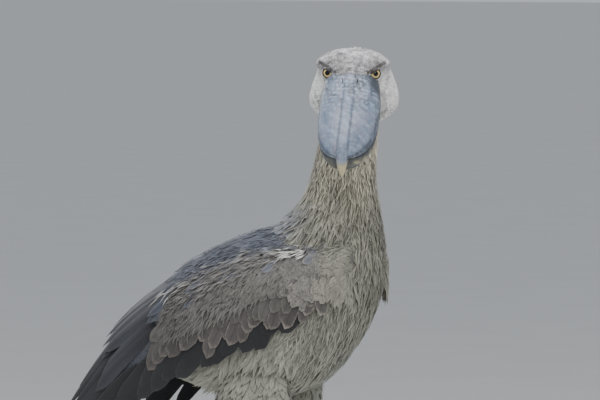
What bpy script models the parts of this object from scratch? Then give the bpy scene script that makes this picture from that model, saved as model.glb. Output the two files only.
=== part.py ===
"""A life-size shoebill that stands still and looks over its right shoulder.

Metres, +Z up. The bird faces +X, its right side faces -Y, and the origin is on the floor
in the middle of its outline.
"""

import math

import bmesh
import bpy
import numpy as np
from mathutils import Matrix, Vector

# Clearance between nodes that touch
GAP = 0.0003

# Neck and trunk: dorsal x, dorsal z, ventral x, ventral z, half width and shift to the left
# of each section, from inside the skull to the root of the tail
TRUNK_SECTIONS = [
    (0.088, 1.122, 0.166, 1.118, 0.038, -0.040),
    (0.074, 1.070, 0.162, 1.062, 0.043, -0.026),
    (0.052, 1.010, 0.150, 1.002, 0.049, -0.009),
    (0.032, 0.945, 0.143, 0.932, 0.056, 0.000),
    (0.012, 0.893, 0.150, 0.866, 0.074, 0.000),
    (-0.040, 0.848, 0.155, 0.800, 0.098, 0.000),
    (-0.102, 0.818, 0.146, 0.722, 0.114, 0.000),
    (-0.162, 0.788, 0.104, 0.638, 0.118, 0.000),
    (-0.212, 0.758, 0.030, 0.562, 0.112, 0.000),
    (-0.254, 0.728, -0.070, 0.532, 0.098, 0.000),
    (-0.290, 0.696, -0.165, 0.545, 0.080, 0.000),
    (-0.318, 0.668, -0.240, 0.566, 0.058, 0.000),
    (-0.338, 0.644, -0.296, 0.590, 0.034, 0.000),
]
TRUNK_SIDES = 24
TRUNK_RINGS = 24
NECK_RINGS = 6
TRUNK_STARTS = 0.35
# The gap between two rings, as a share of a section's length
TRUNK_GAP = 0.006
TRUNK_ENDS = 11.6

# Head, in its own frame: x forward along the mouth line, y left, z up, zero between the eyes
HEAD_PLACE = Vector((0.1382, -0.0729, 1.1300))
HEAD_YAW = math.radians(-70.0)
HEAD_PITCH = math.radians(36.0)
HEAD_ROLL = math.radians(-1.0)
# x, crown z, brow half width and z, temple half width and z, cheek half width and z, chin z
HEAD_SECTIONS = [
    (-0.090, -0.020, 0.016, -0.024, 0.021, -0.034, 0.017, -0.045, -0.052),
    (-0.081, -0.011, 0.033, -0.018, 0.040, -0.032, 0.035, -0.058, -0.076),
    (-0.062, 0.004, 0.052, -0.006, 0.057, -0.028, 0.055, -0.066, -0.097),
    (-0.040, 0.020, 0.064, 0.001, 0.065, -0.024, 0.071, -0.068, -0.110),
    (-0.018, 0.029, 0.065, 0.007, 0.062, -0.020, 0.079, -0.068, -0.115),
    (0.000, 0.030, 0.058, 0.012, 0.055, -0.016, 0.079, -0.066, -0.115),
    (0.014, 0.0235, 0.043, 0.010, 0.047, -0.014, 0.067, -0.062, -0.112),
    (0.026, 0.0165, 0.027, 0.008, 0.041, -0.014, 0.053, -0.055, -0.103),
    (0.035, 0.0050, 0.021, 0.000, 0.035, -0.014, 0.047, -0.055, -0.099),
]
HEAD_RINGS_PER_SECTION = 2
# The flat of the crown and of the chin: share of the width it reaches and of the height it drops
CROWN_FLAT = (0.52, 0.22)
CHIN_FLAT = (0.62, 0.22)
EYE_PLACE = (0.0060, 0.0400, -0.0005)
EYE_RADIUS = 0.0135
EYE_LOOKS = (0.70, 0.50, 0.50)
LID_RADIUS = 0.0114
LID_THICKNESS = 0.0026
# How far the lid's ring lies in front of the eye's centre, in radii of the eye
LID_REACH = 0.52
# Distance from the eye's centre and radius, along the hollow that bares the eye
EYE_HOLLOW = [(0.0060, 0.0090), (0.0110, 0.0125), (0.0300, 0.0330)]

# Bill, in the head's frame: x, half width, ridge z and edge z of the upper half, and how
# slowly its sides round off to a dome, from square at 0 to round at 1
UPPER_BILL_SECTIONS = [
    (-0.010, 0.0430, 0.0150, -0.046, 0.50),
    (0.016, 0.0500, 0.0145, -0.047, 0.50),
    (0.050, 0.0530, 0.0080, -0.049, 0.54),
    (0.090, 0.0535, -0.0020, -0.051, 0.60),
    (0.124, 0.0505, -0.0110, -0.053, 0.66),
    (0.150, 0.0435, -0.0190, -0.054, 0.72),
    (0.168, 0.0335, -0.0270, -0.054, 0.75),
    (0.180, 0.0215, -0.0350, -0.053, 0.75),
    (0.186, 0.0090, -0.0400, -0.052, 0.75),
]
# x, half width, edge z and keel z of the lower half
LOWER_BILL_SECTIONS = [
    (-0.010, 0.046, -0.050, -0.096),
    (0.030, 0.0500, -0.0515, -0.100),
    (0.080, 0.0515, -0.0530, -0.098),
    (0.125, 0.0485, -0.0555, -0.095),
    (0.152, 0.0410, -0.0565, -0.092),
    (0.170, 0.0290, -0.0565, -0.088),
    (0.179, 0.0150, -0.0560, -0.080),
]
LOWER_BILL_SIDES = 20
LOWER_BILL_ROUNDNESS = 0.62
TONGUE_ARCH = 0.003
# Turns round the upper half at which a section has points, closer beside the ridge
BILL_TURNS = np.radians([0, 16, 36, 57, 76.5, 80.5, 90, 99.5, 103.5, 123, 144, 164, 180])
# How far the tip of the bill leans to the bird's right, over its reach
BILL_LEAN = 0.006
BILL_REACH = 0.200
RIDGE_HALF_WIDTH = 0.0085
RIDGE_HEIGHT = 0.0028
GROOVE_DEPTH = 0.0014
# Half width of the bill below which its ridge and grooves fade
RIDGE_FADES = 0.030
PALATE_ARCH = 0.004
# x, z, half width and half thickness along the hook
HOOK_SECTIONS = [
    (0.150, -0.0262, 0.0080, 0.0060),
    (0.170, -0.0345, 0.0105, 0.0095),
    (0.182, -0.0460, 0.0110, 0.0110),
    (0.190, -0.0600, 0.0090, 0.0080),
    (0.1945, -0.0730, 0.0055, 0.0048),
    (0.1955, -0.0820, 0.0018, 0.0016),
]
HOOK_SIDES = 12
# Nostrils: place along the bill, length, half width, and distance from the ridge's middle
NOSTRIL_PLACE = 1.75
NOSTRIL_LENGTH = 0.012
NOSTRIL_HALF_WIDTH = 0.0014
NOSTRIL_ASIDE = 0.0135
# Crest: root and tip of its middle feather, how far its feathers spread, and their width
CREST_ROOT = (-0.070, 0.0, -0.006)
CREST_TIP = (-0.114, 0.0, -0.038)
CREST_COUNT = 5
CREST_SPREAD = (0.014, 0.022)
CREST_WIDTH = 0.015
CREST_LEAN = 0.14
CREST_LIFT = 0.004

# Legs: half the hip and stance widths, the stride, and the heights of the joints
HIP_HALF = 0.068
STANCE_HALF = 0.082
FOOT_X = {"right": -0.030, "left": -0.062}
HOCK_HEIGHT = 0.268
FOOT_HEIGHT = 0.022
THIGH_TOP = (-0.055, 0.600)
TROUSER_Z = 0.350
# Half width across and half depth fore and aft, at even steps down the feathered thigh
THIGH_WIDTHS = [(0.030, 0.060), (0.043, 0.072), (0.040, 0.062), (0.029, 0.043), (0.016, 0.020)]
# Stations down the shin and the tarsus, and the half widths across and fore and aft at each
SHIN_SHARES = (0.0, 0.35, 0.7)
TARSUS_SHARES = (0.03, 0.12, 0.3, 0.6, 0.88, 1.0)
SHANK_WIDTHS = [
    (0.0100, 0.0120),
    (0.0100, 0.0115),
    (0.0135, 0.0145),
    (0.0165, 0.0175),
    (0.0135, 0.0150),
    (0.0095, 0.0115),
    (0.0090, 0.0105),
    (0.0105, 0.0115),
    (0.0150, 0.0140),
]
# How far the hock lies behind the foot and inside it
HOCK_BACK = 0.048
HOCK_INSIDE = 0.004
TOES = {
    "inner": (0.118, math.radians(38)),
    "middle": (0.165, math.radians(0)),
    "outer": (0.135, math.radians(-36)),
    "hind": (0.080, math.radians(172)),
}
TOE_RADIUS = 0.0092
# Height of a toe's middle line over the floor, in its radii
TOE_HEIGHT = 0.72
# Height of the palm's middle, as a share of the foot's, and its radius
PALM_SHARE = 0.55
# The share of a toe over which it comes down from the palm
TOE_FALL = 0.22
PALM_RADIUS = 0.0165
TOE_STEPS = 7
# How much a toe swells at its joints, and how far it thins to its end
TOE_SWELL = 0.16
TOE_TAPER = 0.38
CLAW_LENGTH = 0.020
CLAW_THICKNESS = 0.0046
CLAW_ARCH = 0.0030
CLAW_DROP = 0.0070
CLAW_TAPER = 0.88

# Folded wing: x, axis z, half width and height of the arch above the axis
WING_STATIONS = [
    (0.128, 0.768, 0.092, 0.072),
    (0.070, 0.752, 0.122, 0.098),
    (-0.030, 0.722, 0.138, 0.126),
    (-0.120, 0.692, 0.137, 0.128),
    (-0.210, 0.655, 0.122, 0.121),
    (-0.290, 0.612, 0.100, 0.114),
    (-0.360, 0.565, 0.080, 0.100),
    (-0.430, 0.508, 0.062, 0.070),
    (-0.500, 0.440, 0.044, 0.044),
]
WING_ARCH_RADIUS = 0.135
WING_TUCK = 1.6
# Core under the vanes: its length, how it rounds off ahead and thins behind, its height
WING_CORE_LENGTH = 0.470
WING_CORE_RINGS = 10
WING_CORE_SIDES = 8
WING_CORE_ROUNDING = 0.11
WING_CORE_TAPER = 0.15
WING_CORE_THICKNESS = 0.010
WING_CORE_HEIGHT = -0.003
WING_TOP = -0.190
# How far the core hangs below the widest line, at distances along the wing
WING_CORE_LOW = [(0.0, 0.015), (0.05, 0.045), (0.18, 0.080), (0.34, 0.080), (0.47, 0.040)]
# Count of each row of vanes, then, for its first and last vane: place along and down the
# wing, length, width, slope to the wing's line, height of the root, rise to the tip, roll
WING_ROWS_OF_VANES = [
    (5, (0.400, 0.440), (-0.115, 0.015), (0.275, 0.240), (0.034, 0.034), (5, -1), (-0.008, -0.008),
     (0.004, 0.004), (5, 5)),
    (10, (0.050, 0.410), (0.042, 0.028), (0.095, 0.165), (0.044, 0.042), (64, 20), (-0.003, -0.005),
     (0.006, 0.005), (6, 6)),
    (9, (0.035, 0.345), (0.016, -0.012), (0.080, 0.088), (0.044, 0.044), (72, 46), (-0.003, -0.003),
     (0.009, 0.009), (6, 6)),
    (7, (0.030, 0.290), (-0.020, -0.047), (0.064, 0.066), (0.047, 0.047), (72, 48), (-0.003, -0.003),
     (0.010, 0.010), (6, 6)),
    (6, (0.022, 0.235), (-0.050, -0.080), (0.056, 0.060), (0.049, 0.049), (66, 42), (-0.003, -0.003),
     (0.011, 0.011), (6, 6)),
    (5, (0.315, 0.380), (-0.172, -0.030), (0.230, 0.180), (0.040, 0.040), (4, 8), (-0.004, -0.004),
     (0.009, 0.009), (5, 5)),
    (4, (0.230, 0.275), (-0.172, -0.080), (0.150, 0.120), (0.038, 0.038), (6, 20), (-0.003, -0.003),
     (0.012, 0.012), (6, 6)),
    (4, (0.150, 0.190), (-0.165, -0.082), (0.125, 0.105), (0.038, 0.038), (8, 22), (-0.003, -0.003),
     (0.012, 0.012), (6, 6)),
    (4, (0.065, 0.105), (-0.150, -0.080), (0.110, 0.095), (0.038, 0.038), (10, 25), (-0.003, -0.003),
     (0.012, 0.012), (6, 6)),
]
# Shares of a vane's length and the width there as a share of its widest
VANE_OUTLINE = [(0.0, 0.5), (0.4, 1.0), (0.88, 0.85), (1.0, 0.4)]
# Plumes of the breast: count and place of each row, and how far round from the middle it goes
PLUME_ROWS = [(5, 3.45, 1.10), (5, 3.98, 0.85), (4, 4.50, 0.50), (4, 5.05, 0.48), (3, 5.60, 0.36)]
PLUME_REACH = 1.02
PLUME_WIDTH = 0.032
PLUME_RISE = 0.0075
PLUME_THICKNESS = 0.0016
PLUME_OUTLINE = [(0.0, 0.6), (0.3, 1.0), (0.68, 0.66), (1.0, 0.06)]

# Tail: root, direction, and the fan of vanes
TAIL_ROOT = Vector((-0.318, 0.0, 0.622))
TAIL_SLOPE = math.radians(50)
TAIL_LENGTH = 0.200
# Where the tail's root starts and ends, as shares of its length
TAIL_CORE = (-0.20, 0.42)
TAIL_PAIRS = 6
TAIL_HALF_WIDTH = 0.036
TAIL_CORE_THICKNESS = 0.013
TAIL_VANE_WIDTH = 0.034
TAIL_STEP = 0.0019
TAIL_FAN = 0.07
TAIL_ROOF = 0.10

VANE_THICKNESS = 0.0010
# Edges bent further than this stay sharp
SHARP_ANGLE = math.radians(40)
SEED = 7

rng = np.random.default_rng(SEED)


def clear_scene():
    for old in list(bpy.data.objects):
        bpy.data.objects.remove(old)


def material(name, colour, roughness, metallic=0.0):
    made = bpy.data.materials.new(name)
    made.use_nodes = True
    shader = made.node_tree.nodes["Principled BSDF"]
    shader.inputs["Base Color"].default_value = (*colour, 1.0)
    shader.inputs["Roughness"].default_value = roughness
    shader.inputs["Metallic"].default_value = metallic
    return made


def solid(name, points, faces, finish):
    """A mesh object with its faces turned outwards."""
    mesh = bpy.data.meshes.new(name)
    mesh.from_pydata([tuple(map(float, p)) for p in points], [], faces)
    shape = bmesh.new()
    shape.from_mesh(mesh)
    if shape.calc_volume(signed=True) < 0:
        bmesh.ops.reverse_faces(shape, faces=shape.faces)
    shape.to_mesh(mesh)
    shape.free()
    made = bpy.data.objects.new(name, mesh)
    made.data.materials.append(finish)
    bpy.context.scene.collection.objects.link(made)
    return made


def row_at(table, place):
    """One row of a table at a fractional index, on a smooth curve through its rows."""
    rows = np.asarray(table, float)
    i = int(min(max(math.floor(place), 0), len(rows) - 2))
    t = place - i
    before = rows[i - 1] if i > 0 else 2 * rows[i] - rows[i + 1]
    after = rows[i + 2] if i + 2 < len(rows) else 2 * rows[i + 1] - rows[i]
    a, b = rows[i], rows[i + 1]
    return 0.5 * (
        2 * a
        + (b - before) * t
        + (2 * before - 5 * a + 4 * b - after) * t**2
        + (3 * a - before - 3 * b + after) * t**3
    )


def halves(a, b, c, d):
    return [(a, b, c), (a, c, d)]


def tube(name, rings, finish, thin_ends=False):
    """A closed body of triangles through rings of the same number of points.

    Its ends are flat, or strips where a ring goes out along one face of a thin shell and
    back along the other.
    """
    count = len(rings[0])
    points = np.concatenate(rings)
    faces = []
    for start in range(0, (len(rings) - 1) * count, count):
        for k in range(count):
            after = (k + 1) % count
            faces += halves(start + k, start + after, start + count + after, start + count + k)
    last = (len(rings) - 1) * count
    if thin_ends:
        for k in range(count // 2 - 1):
            across = (k, count - 1 - k, count - 2 - k, k + 1)
            faces += halves(*across)
            faces += halves(*(last + i for i in across[::-1]))
    else:
        faces.append(tuple(range(count))[::-1])
        faces.append(tuple(last + k for k in range(count)))
    return solid(name, points, faces, finish)


def combine(kept, others, operation, solver="EXACT"):
    """Joins others to kept, or cuts them from it, in one Boolean, and removes them.

    MANIFOLD is for many thin blades or toes that cross, which EXACT leaves open.
    """
    group = bpy.data.collections.new(kept.name + "_tools")
    bpy.context.scene.collection.children.link(group)
    for other in others:
        bpy.context.scene.collection.objects.unlink(other)
        group.objects.link(other)
    modifier = kept.modifiers.new("combine", "BOOLEAN")
    modifier.operation = operation
    modifier.operand_type = "COLLECTION"
    modifier.collection = group
    modifier.solver = solver
    graph = bpy.context.evaluated_depsgraph_get()
    result = bpy.data.meshes.new_from_object(kept.evaluated_get(graph))
    kept.modifiers.clear()
    kept.data = result
    for other in list(group.objects):
        bpy.data.objects.remove(other)
    bpy.data.collections.remove(group)
    keep_largest(kept)
    return kept


def keep_largest(made):
    """Drops every loose scrap, so that one closed surface is left."""
    shape = bmesh.new()
    shape.from_mesh(made.data)
    unseen = set(shape.verts)
    shells = []
    while unseen:
        shell, edge = set(), [unseen.pop()]
        while edge:
            vertex = edge.pop()
            shell.add(vertex)
            for link in vertex.link_edges:
                other = link.other_vert(vertex)
                if other in unseen:
                    unseen.discard(other)
                    edge.append(other)
        shells.append(shell)
    largest = max(shells, key=len)
    spare = [v for v in shape.verts if v not in largest]
    bmesh.ops.delete(shape, geom=spare, context="VERTS")
    shape.to_mesh(made.data)
    shape.free()


def head_frame():
    """Carries a point of the head's own frame into the bird's."""
    yaw = Matrix.Rotation(HEAD_YAW, 4, "Z")
    pitch = Matrix.Rotation(HEAD_PITCH, 4, "Y")
    roll = Matrix.Rotation(HEAD_ROLL, 4, "X")
    return Matrix.Translation(HEAD_PLACE) @ yaw @ pitch @ roll


def from_head(points):
    carry = np.array(head_frame())
    points = np.array(points, float)
    points[:, 1] -= BILL_LEAN * np.clip(points[:, 0] / BILL_REACH, 0, None) ** 2
    return points @ carry[:3, :3].T + carry[:3, 3]


def trunk_point(place, turn, height):
    """A point at a height over the trunk, at a turn from the middle of the breast."""
    back_x, back_z, belly_x, belly_z, half, shift = row_at(TRUNK_SECTIONS, place)
    back = np.array([back_x, shift, back_z])
    belly = np.array([belly_x, shift, belly_z])
    middle, reach = (back + belly) / 2, (belly - back) / 2
    reach *= 1 + height / np.linalg.norm(reach)
    return middle + math.cos(turn) * reach + math.sin(turn) * np.array([0, half + height, 0])


def trunk_ring(place, grow=0.0):
    """The section of neck or trunk at a place along it, an oval from back to belly."""
    turns = np.arange(TRUNK_SIDES) * 2 * math.pi / TRUNK_SIDES
    return np.array([trunk_point(place, turn, grow) for turn in turns])


def plumes(finish):
    """Rows of pointed plumes that hang over one another down the breast."""
    made = []
    for row, (count, start, reach) in enumerate(PLUME_ROWS):
        for k in range(count):
            turn = reach * (2 * (k + 0.5 * (row % 2) * (count - 2) / count) / (count - 1) - 1)
            turn = min(reach, turn) + 0.04 * rng.uniform(-1, 1)
            length = PLUME_REACH * (1 + 0.10 * rng.uniform(-1, 1))
            drift = 0.05 * rng.uniform(-1, 1)
            radius = row_at(TRUNK_SECTIONS, start)[4]

            def place(out, sideways, lift):
                round_it = turn + drift * out + sideways / radius
                height = -0.0020 + PLUME_RISE * out / length + 0.15 * sideways + lift
                return trunk_point(start + out, round_it, height)

            made.append(vane(place, length, PLUME_WIDTH, finish, PLUME_OUTLINE, PLUME_THICKNESS))
    return made


def trunk_form(name, first, last, finish, grow=0.0):
    """The trunk from one of its rings to another, a little shorter where it meets a part."""
    places = np.linspace(TRUNK_STARTS, TRUNK_ENDS, TRUNK_RINGS + 1)[first : last + 1]
    if first > 0:
        places[0] += TRUNK_GAP
    if grow > 0:
        places[-1] += 2 * TRUNK_GAP
    return tube(name, [trunk_ring(p, grow) for p in places], finish)


def head_ring(place, grow=0.0):
    """A section across the head, with its brow, temple and cheek."""
    x, crown, brow, brow_z, temple, temple_z, cheek, cheek_z, chin = row_at(
        HEAD_SECTIONS, place
    )
    half = [
        (0.0, crown + grow),
        (CROWN_FLAT[0] * brow, crown - CROWN_FLAT[1] * (crown - brow_z) + grow),
        (brow + grow, brow_z + 0.3 * grow),
        (temple + grow, temple_z),
        (cheek + grow, cheek_z - 0.3 * grow),
        (CHIN_FLAT[0] * cheek + grow, chin + CHIN_FLAT[1] * (cheek_z - chin) - grow),
        (0.0, chin - grow),
    ]
    loop = half + [(-y, z) for y, z in reversed(half[1:-1])]
    around = len(loop)
    closed = [loop[-1], *loop, loop[0], loop[1]]
    turns = np.arange(2 * around) / 2
    yz = np.array([row_at(closed, 1 + t) for t in turns])
    return np.column_stack([np.full(len(yz), x), yz])


def head_form(name, finish, grow=0.0):
    count = (len(HEAD_SECTIONS) - 1) * HEAD_RINGS_PER_SECTION
    places = np.arange(count + 1) / HEAD_RINGS_PER_SECTION
    rings = [head_ring(p, grow) for p in places]
    rings[0] = rings[0] - np.array([grow, 0.0, 0.0])
    rings[-1] = rings[-1] + np.array([grow, 0.0, 0.0])
    return tube(name, [from_head(r) for r in rings], finish)


def ball(name, centre, radius, finish):
    shape = bmesh.new()
    bmesh.ops.create_uvsphere(shape, u_segments=12, v_segments=8, radius=radius)
    bmesh.ops.triangulate(shape, faces=shape.faces)
    bmesh.ops.translate(shape, verts=shape.verts, vec=Vector(centre))
    mesh = bpy.data.meshes.new(name)
    shape.to_mesh(mesh)
    shape.free()
    made = bpy.data.objects.new(name, mesh)
    made.data.materials.append(finish)
    bpy.context.scene.collection.objects.link(made)
    return made


def eye_centre(side):
    x, y, z = EYE_PLACE
    return from_head([(x, side * y, z)])[0]


def eye_axes(side):
    """The centre of one eye in the head's frame, where it looks, and two directions across."""
    x, y, z = EYE_PLACE
    axis = Vector((EYE_LOOKS[0], side * EYE_LOOKS[1], EYE_LOOKS[2])).normalized()
    across = axis.cross(Vector((0, 0, 1))).normalized()
    return Vector((x, side * y, z)), axis, across, across.cross(axis)


def eye_hollow(side, finish):
    """A cone that opens forwards from one eye."""
    centre, axis, across, up = eye_axes(side)
    rings = []
    for reach, radius in EYE_HOLLOW:
        turns = np.arange(16) * math.pi / 8
        ring = np.cos(turns)[:, None] * across + np.sin(turns)[:, None] * up
        rings.append(from_head(np.array(centre + axis * reach) + radius * ring))
    return tube("hollow", rings, finish)


def lid(side, finish):
    """The raised ring of skin round one eye."""
    centre, axis, across, up = eye_axes(side)
    centre = centre + axis * (EYE_RADIUS * LID_REACH)
    sides, round_the_eye = 5, 14
    rings = []
    for k in range(round_the_eye):
        turn = 2 * math.pi * k / round_the_eye
        out = across * math.cos(turn) + up * math.sin(turn)
        for j in range(sides):
            bend = 2 * math.pi * j / sides
            ring = out * (LID_RADIUS + LID_THICKNESS * math.cos(bend))
            rings.append(centre + ring + axis * (LID_THICKNESS * math.sin(bend)))
    faces = [
        (
            k * sides + j,
            k * sides + (j + 1) % sides,
            ((k + 1) % round_the_eye) * sides + (j + 1) % sides,
            ((k + 1) % round_the_eye) * sides + j,
        )
        for k in range(round_the_eye)
        for j in range(sides)
    ]
    return solid("lid", from_head(rings), faces, finish)


def lid_room(side, finish):
    """The space that one eye and its lid need beside the bill."""
    centre, axis, _, _ = eye_axes(side)
    room = LID_RADIUS + LID_THICKNESS + 3 * GAP
    return ball("room", from_head([centre + axis * (EYE_RADIUS * LID_REACH)])[0], room, finish)


def crest(finish):
    """A short fan of pointed feathers behind the crown."""
    made = []
    for k in range(CREST_COUNT):
        share = 2 * k / (CREST_COUNT - 1) - 1
        root = np.array(CREST_ROOT) + (0, share * CREST_SPREAD[0], -0.010 * share**2)
        tip = np.array(CREST_TIP) + (0.014 * abs(share), share * CREST_SPREAD[1], -0.008 * share**2)
        heading = tip - root
        length = np.linalg.norm(heading)
        heading = heading / length
        across = np.cross((0.0, 0.0, 1.0), heading)
        across = across / np.linalg.norm(across)
        above = np.cross(heading, across)

        def place(out, sideways, lift):
            rise = CREST_LIFT * (out / length) ** 2 + CREST_LEAN * sideways + lift
            return from_head([root + heading * out + across * sideways + above * rise])[0]

        made.append(vane(place, length, CREST_WIDTH, finish, PLUME_OUTLINE))
    return made


def upper_bill_ring(place):
    """A domed section of the upper bill, with the ridge and a groove either side."""
    x, half, ridge, edge, roundness = row_at(UPPER_BILL_SECTIONS, place)
    y = half * np.cos(BILL_TURNS)
    dome = np.clip(np.sin(BILL_TURNS), 0, 1) ** roundness
    z = edge + (ridge - edge) * dome
    spread = np.abs(y) / RIDGE_HALF_WIDTH
    strength = min(1.0, half / RIDGE_FADES)
    z += strength * RIDGE_HEIGHT * np.exp(-((spread / 1.15) ** 8))
    z -= strength * GROOVE_DEPTH * np.exp(-(((spread - 1.42) / 0.3) ** 2))
    below = np.linspace(-half, half, len(BILL_TURNS))[1:-1]
    arch = PALATE_ARCH * (1 - (below / half) ** 2)
    y = np.concatenate([y, below])
    z = np.concatenate([z, edge + arch])
    return np.column_stack([np.full(len(y), x), y, z])


def lower_bill_ring(place, grow=0.0):
    x, half, edge, keel = row_at(LOWER_BILL_SECTIONS, place)
    half, edge, keel = half + grow, edge + grow, keel - grow
    turns = np.linspace(0, math.pi, LOWER_BILL_SIDES // 2 + 1)
    y = half * np.cos(turns)
    z = edge - (edge - keel) * np.clip(np.sin(turns), 0, 1) ** LOWER_BILL_ROUNDNESS
    above = np.linspace(-half, half, LOWER_BILL_SIDES // 2 + 1)[1:-1]
    arch = TONGUE_ARCH * (1 - (above / half) ** 2)
    y = np.concatenate([y, above])
    z = np.concatenate([z, edge + arch])
    return np.column_stack([np.full(len(y), x), y, z])


def lower_bill_form(name, finish, grow=0.0):
    rings = [lower_bill_ring(p, grow) for p in places_of(LOWER_BILL_SECTIONS, 2)]
    rings[0] = rings[0] - np.array([grow, 0.0, 0.0])
    return tube(name, [from_head(r) for r in rings], finish)


def hook(finish, grow=0.0):
    """The nail that ends the upper bill and bends down over the lower one."""
    rings = []
    turns = np.arange(HOOK_SIDES) * 2 * math.pi / HOOK_SIDES
    places = np.linspace(0, len(HOOK_SECTIONS) - 1, 9)
    centres = np.array([row_at(HOOK_SECTIONS, p)[:2] for p in places])
    slopes = np.gradient(centres, axis=0)
    for place, (x, z), slope in zip(places, centres, slopes):
        half, thick = row_at(HOOK_SECTIONS, place)[2:] + grow
        slope = slope / np.linalg.norm(slope)
        up = np.array([-slope[1], slope[0]])
        offset = np.sin(turns)[:, None] * thick * up
        ring = np.column_stack(
            [x + offset[:, 0], half * np.cos(turns), z + offset[:, 1]]
        )
        rings.append(from_head(ring))
    return tube("hook", rings, finish)


def places_of(table, per_section):
    count = (len(table) - 1) * per_section
    return np.arange(count + 1) / per_section


def build_bill(horn):
    upper_rings = [
        from_head(upper_bill_ring(p)) for p in places_of(UPPER_BILL_SECTIONS, 2)
    ]
    upper = tube("bill_upper", upper_rings, horn)
    combine(upper, [hook(horn)], "UNION")
    nostrils = [nostril(side, horn) for side in (-1, 1)]
    lids = [lid_room(side, horn) for side in (-1, 1)]
    combine(upper, [head_form("cut", horn, GAP), *nostrils, *lids], "DIFFERENCE")
    lower = lower_bill_form("bill_lower", horn)
    guard = [
        from_head(upper_bill_ring(p) - np.array([0, 0, GAP]))
        for p in places_of(UPPER_BILL_SECTIONS, 2)
    ]
    cutters = [head_form("cut", horn, GAP), tube("guard", guard, horn), hook(horn, 2 * GAP)]
    combine(lower, cutters, "DIFFERENCE")
    return upper, lower


def nostril(side, finish):
    """A short slit at the back of the groove beside the ridge."""
    x, _, ridge = row_at(UPPER_BILL_SECTIONS, NOSTRIL_PLACE)[:3]
    rings = []
    for step in np.linspace(-0.5, 0.5, 5):
        half = NOSTRIL_HALF_WIDTH * (1.02 - (2 * step) ** 2 * 0.8)
        turns = np.arange(8) * math.pi / 4
        ring = np.column_stack(
            [
                np.full(8, x + step * NOSTRIL_LENGTH),
                side * NOSTRIL_ASIDE + half * np.cos(turns),
                ridge - 0.0035 + 0.004 * np.sin(turns) - 0.25 * step * NOSTRIL_LENGTH,
            ]
        )
        rings.append(from_head(ring))
    return tube("nostril", rings, finish)


def leg_line(side):
    """The points that one leg passes, from the hip to the foot."""
    name = "right" if side < 0 else "left"
    foot = np.array([FOOT_X[name], side * STANCE_HALF, FOOT_HEIGHT])
    hock = np.array([FOOT_X[name] - HOCK_BACK, side * (STANCE_HALF - HOCK_INSIDE), HOCK_HEIGHT])
    hip = np.array([THIGH_TOP[0], side * HIP_HALF, THIGH_TOP[1]])
    return hip, hock, foot


def limb(name, points, widths, finish, sides=12):
    """A round limb along points, with a half width across and fore and aft at each."""
    points = np.asarray(points, float)
    rings = []
    slopes = np.gradient(points, axis=0)
    turns = np.arange(sides) * 2 * math.pi / sides
    for point, slope, (across, deep) in zip(points, slopes, widths):
        along = Vector(slope).normalized()
        right = along.cross(Vector((1, 0, 0)))
        if right.length < 0.2:
            right = along.cross(Vector((0, 1, 0)))
        right.normalize()
        ahead = np.array(right.cross(along))
        right = np.array(right)
        rings.append(
            point
            + np.cos(turns)[:, None] * across * right
            + np.sin(turns)[:, None] * deep * ahead
        )
    return tube(name, rings, finish)


def build_leg(side, plumage, skin, horn):
    name = "right" if side < 0 else "left"
    hip, hock, foot = leg_line(side)
    down = (hip[2] - TROUSER_Z) / (hip[2] - hock[2])
    cuff = hip + (hock - hip) * down
    shares = np.linspace(0, 1, 8)
    widths = [row_at(THIGH_WIDTHS, s * (len(THIGH_WIDTHS) - 1)) for s in shares]
    thigh = limb(
        f"thigh_{name}", [hip + (cuff - hip) * s for s in shares], widths, plumage, 16
    )
    combine(thigh, [trunk_form("cut", 0, TRUNK_RINGS, plumage, 2 * GAP)], "DIFFERENCE")
    start = cuff + (hock - cuff) * (GAP / np.linalg.norm(hock - cuff))
    shin = [start + (hock - start) * s for s in SHIN_SHARES]
    tarsus = [hock + (foot - hock) * s for s in TARSUS_SHARES]
    shank = limb(f"shank_{name}", shin + tarsus, SHANK_WIDTHS, skin)
    build_foot(side, name, foot, skin, horn)
    return thigh, shank


def toe_points(foot, heading, length, steps):
    """The middle line of a toe, from inside the foot to its end, low over the floor."""
    ahead = np.array([math.cos(heading), math.sin(heading), 0.0])
    shares = np.linspace(0.0, 1.0, steps)
    points = foot + shares[:, None] * length * ahead
    fall = np.clip(shares / TOE_FALL, 0, 1)
    points[:, 2] = FOOT_HEIGHT * PALM_SHARE * (1 - fall) + TOE_RADIUS * TOE_HEIGHT * fall
    return points, ahead


def build_foot(side, name, foot, skin, horn):
    """Four toes with padded joints on a small palm, flat on the floor, and their claws."""
    palm = ball("palm", (foot[0], foot[1], FOOT_HEIGHT * PALM_SHARE), PALM_RADIUS, skin)
    toes = []
    claws = []
    for toe, (length, spread) in TOES.items():
        heading = spread * -side
        steps = TOE_STEPS
        points, ahead = toe_points(foot, heading, length, steps)
        shares = np.linspace(0, 1, steps)
        pads = 1 + TOE_SWELL * np.cos(shares * math.pi * (steps - 1))
        taper = 1 - TOE_TAPER * shares
        widths = [(TOE_RADIUS * p * t, TOE_RADIUS * t * 1.02) for p, t in zip(pads, taper)]
        toes.append(limb(f"toe_{toe}", points, widths, skin, 8))
        claws.append((toe, points[-1], ahead))
    solid_foot = combine(palm, toes, "UNION", "MANIFOLD")
    solid_foot.name = f"foot_{name}"
    under = box("under", (foot[0], foot[1], -0.05), (0.5, 0.5, 0.05), skin)
    hip, hock, foot_point = leg_line(side)
    socket = limb(
        "socket",
        [foot_point + (hock - foot_point) * s for s in (-GAP / 0.25, 0.05, 0.12, 0.3)],
        [(0.0150 + GAP, 0.0140 + GAP)] * 2 + [(0.0135, 0.0135)] * 2,
        skin,
    )
    combine(solid_foot, [under, socket], "DIFFERENCE", "MANIFOLD")
    for toe, end, ahead in claws:
        claw(f"claw_{name}_{toe}", end, ahead, horn)


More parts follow.
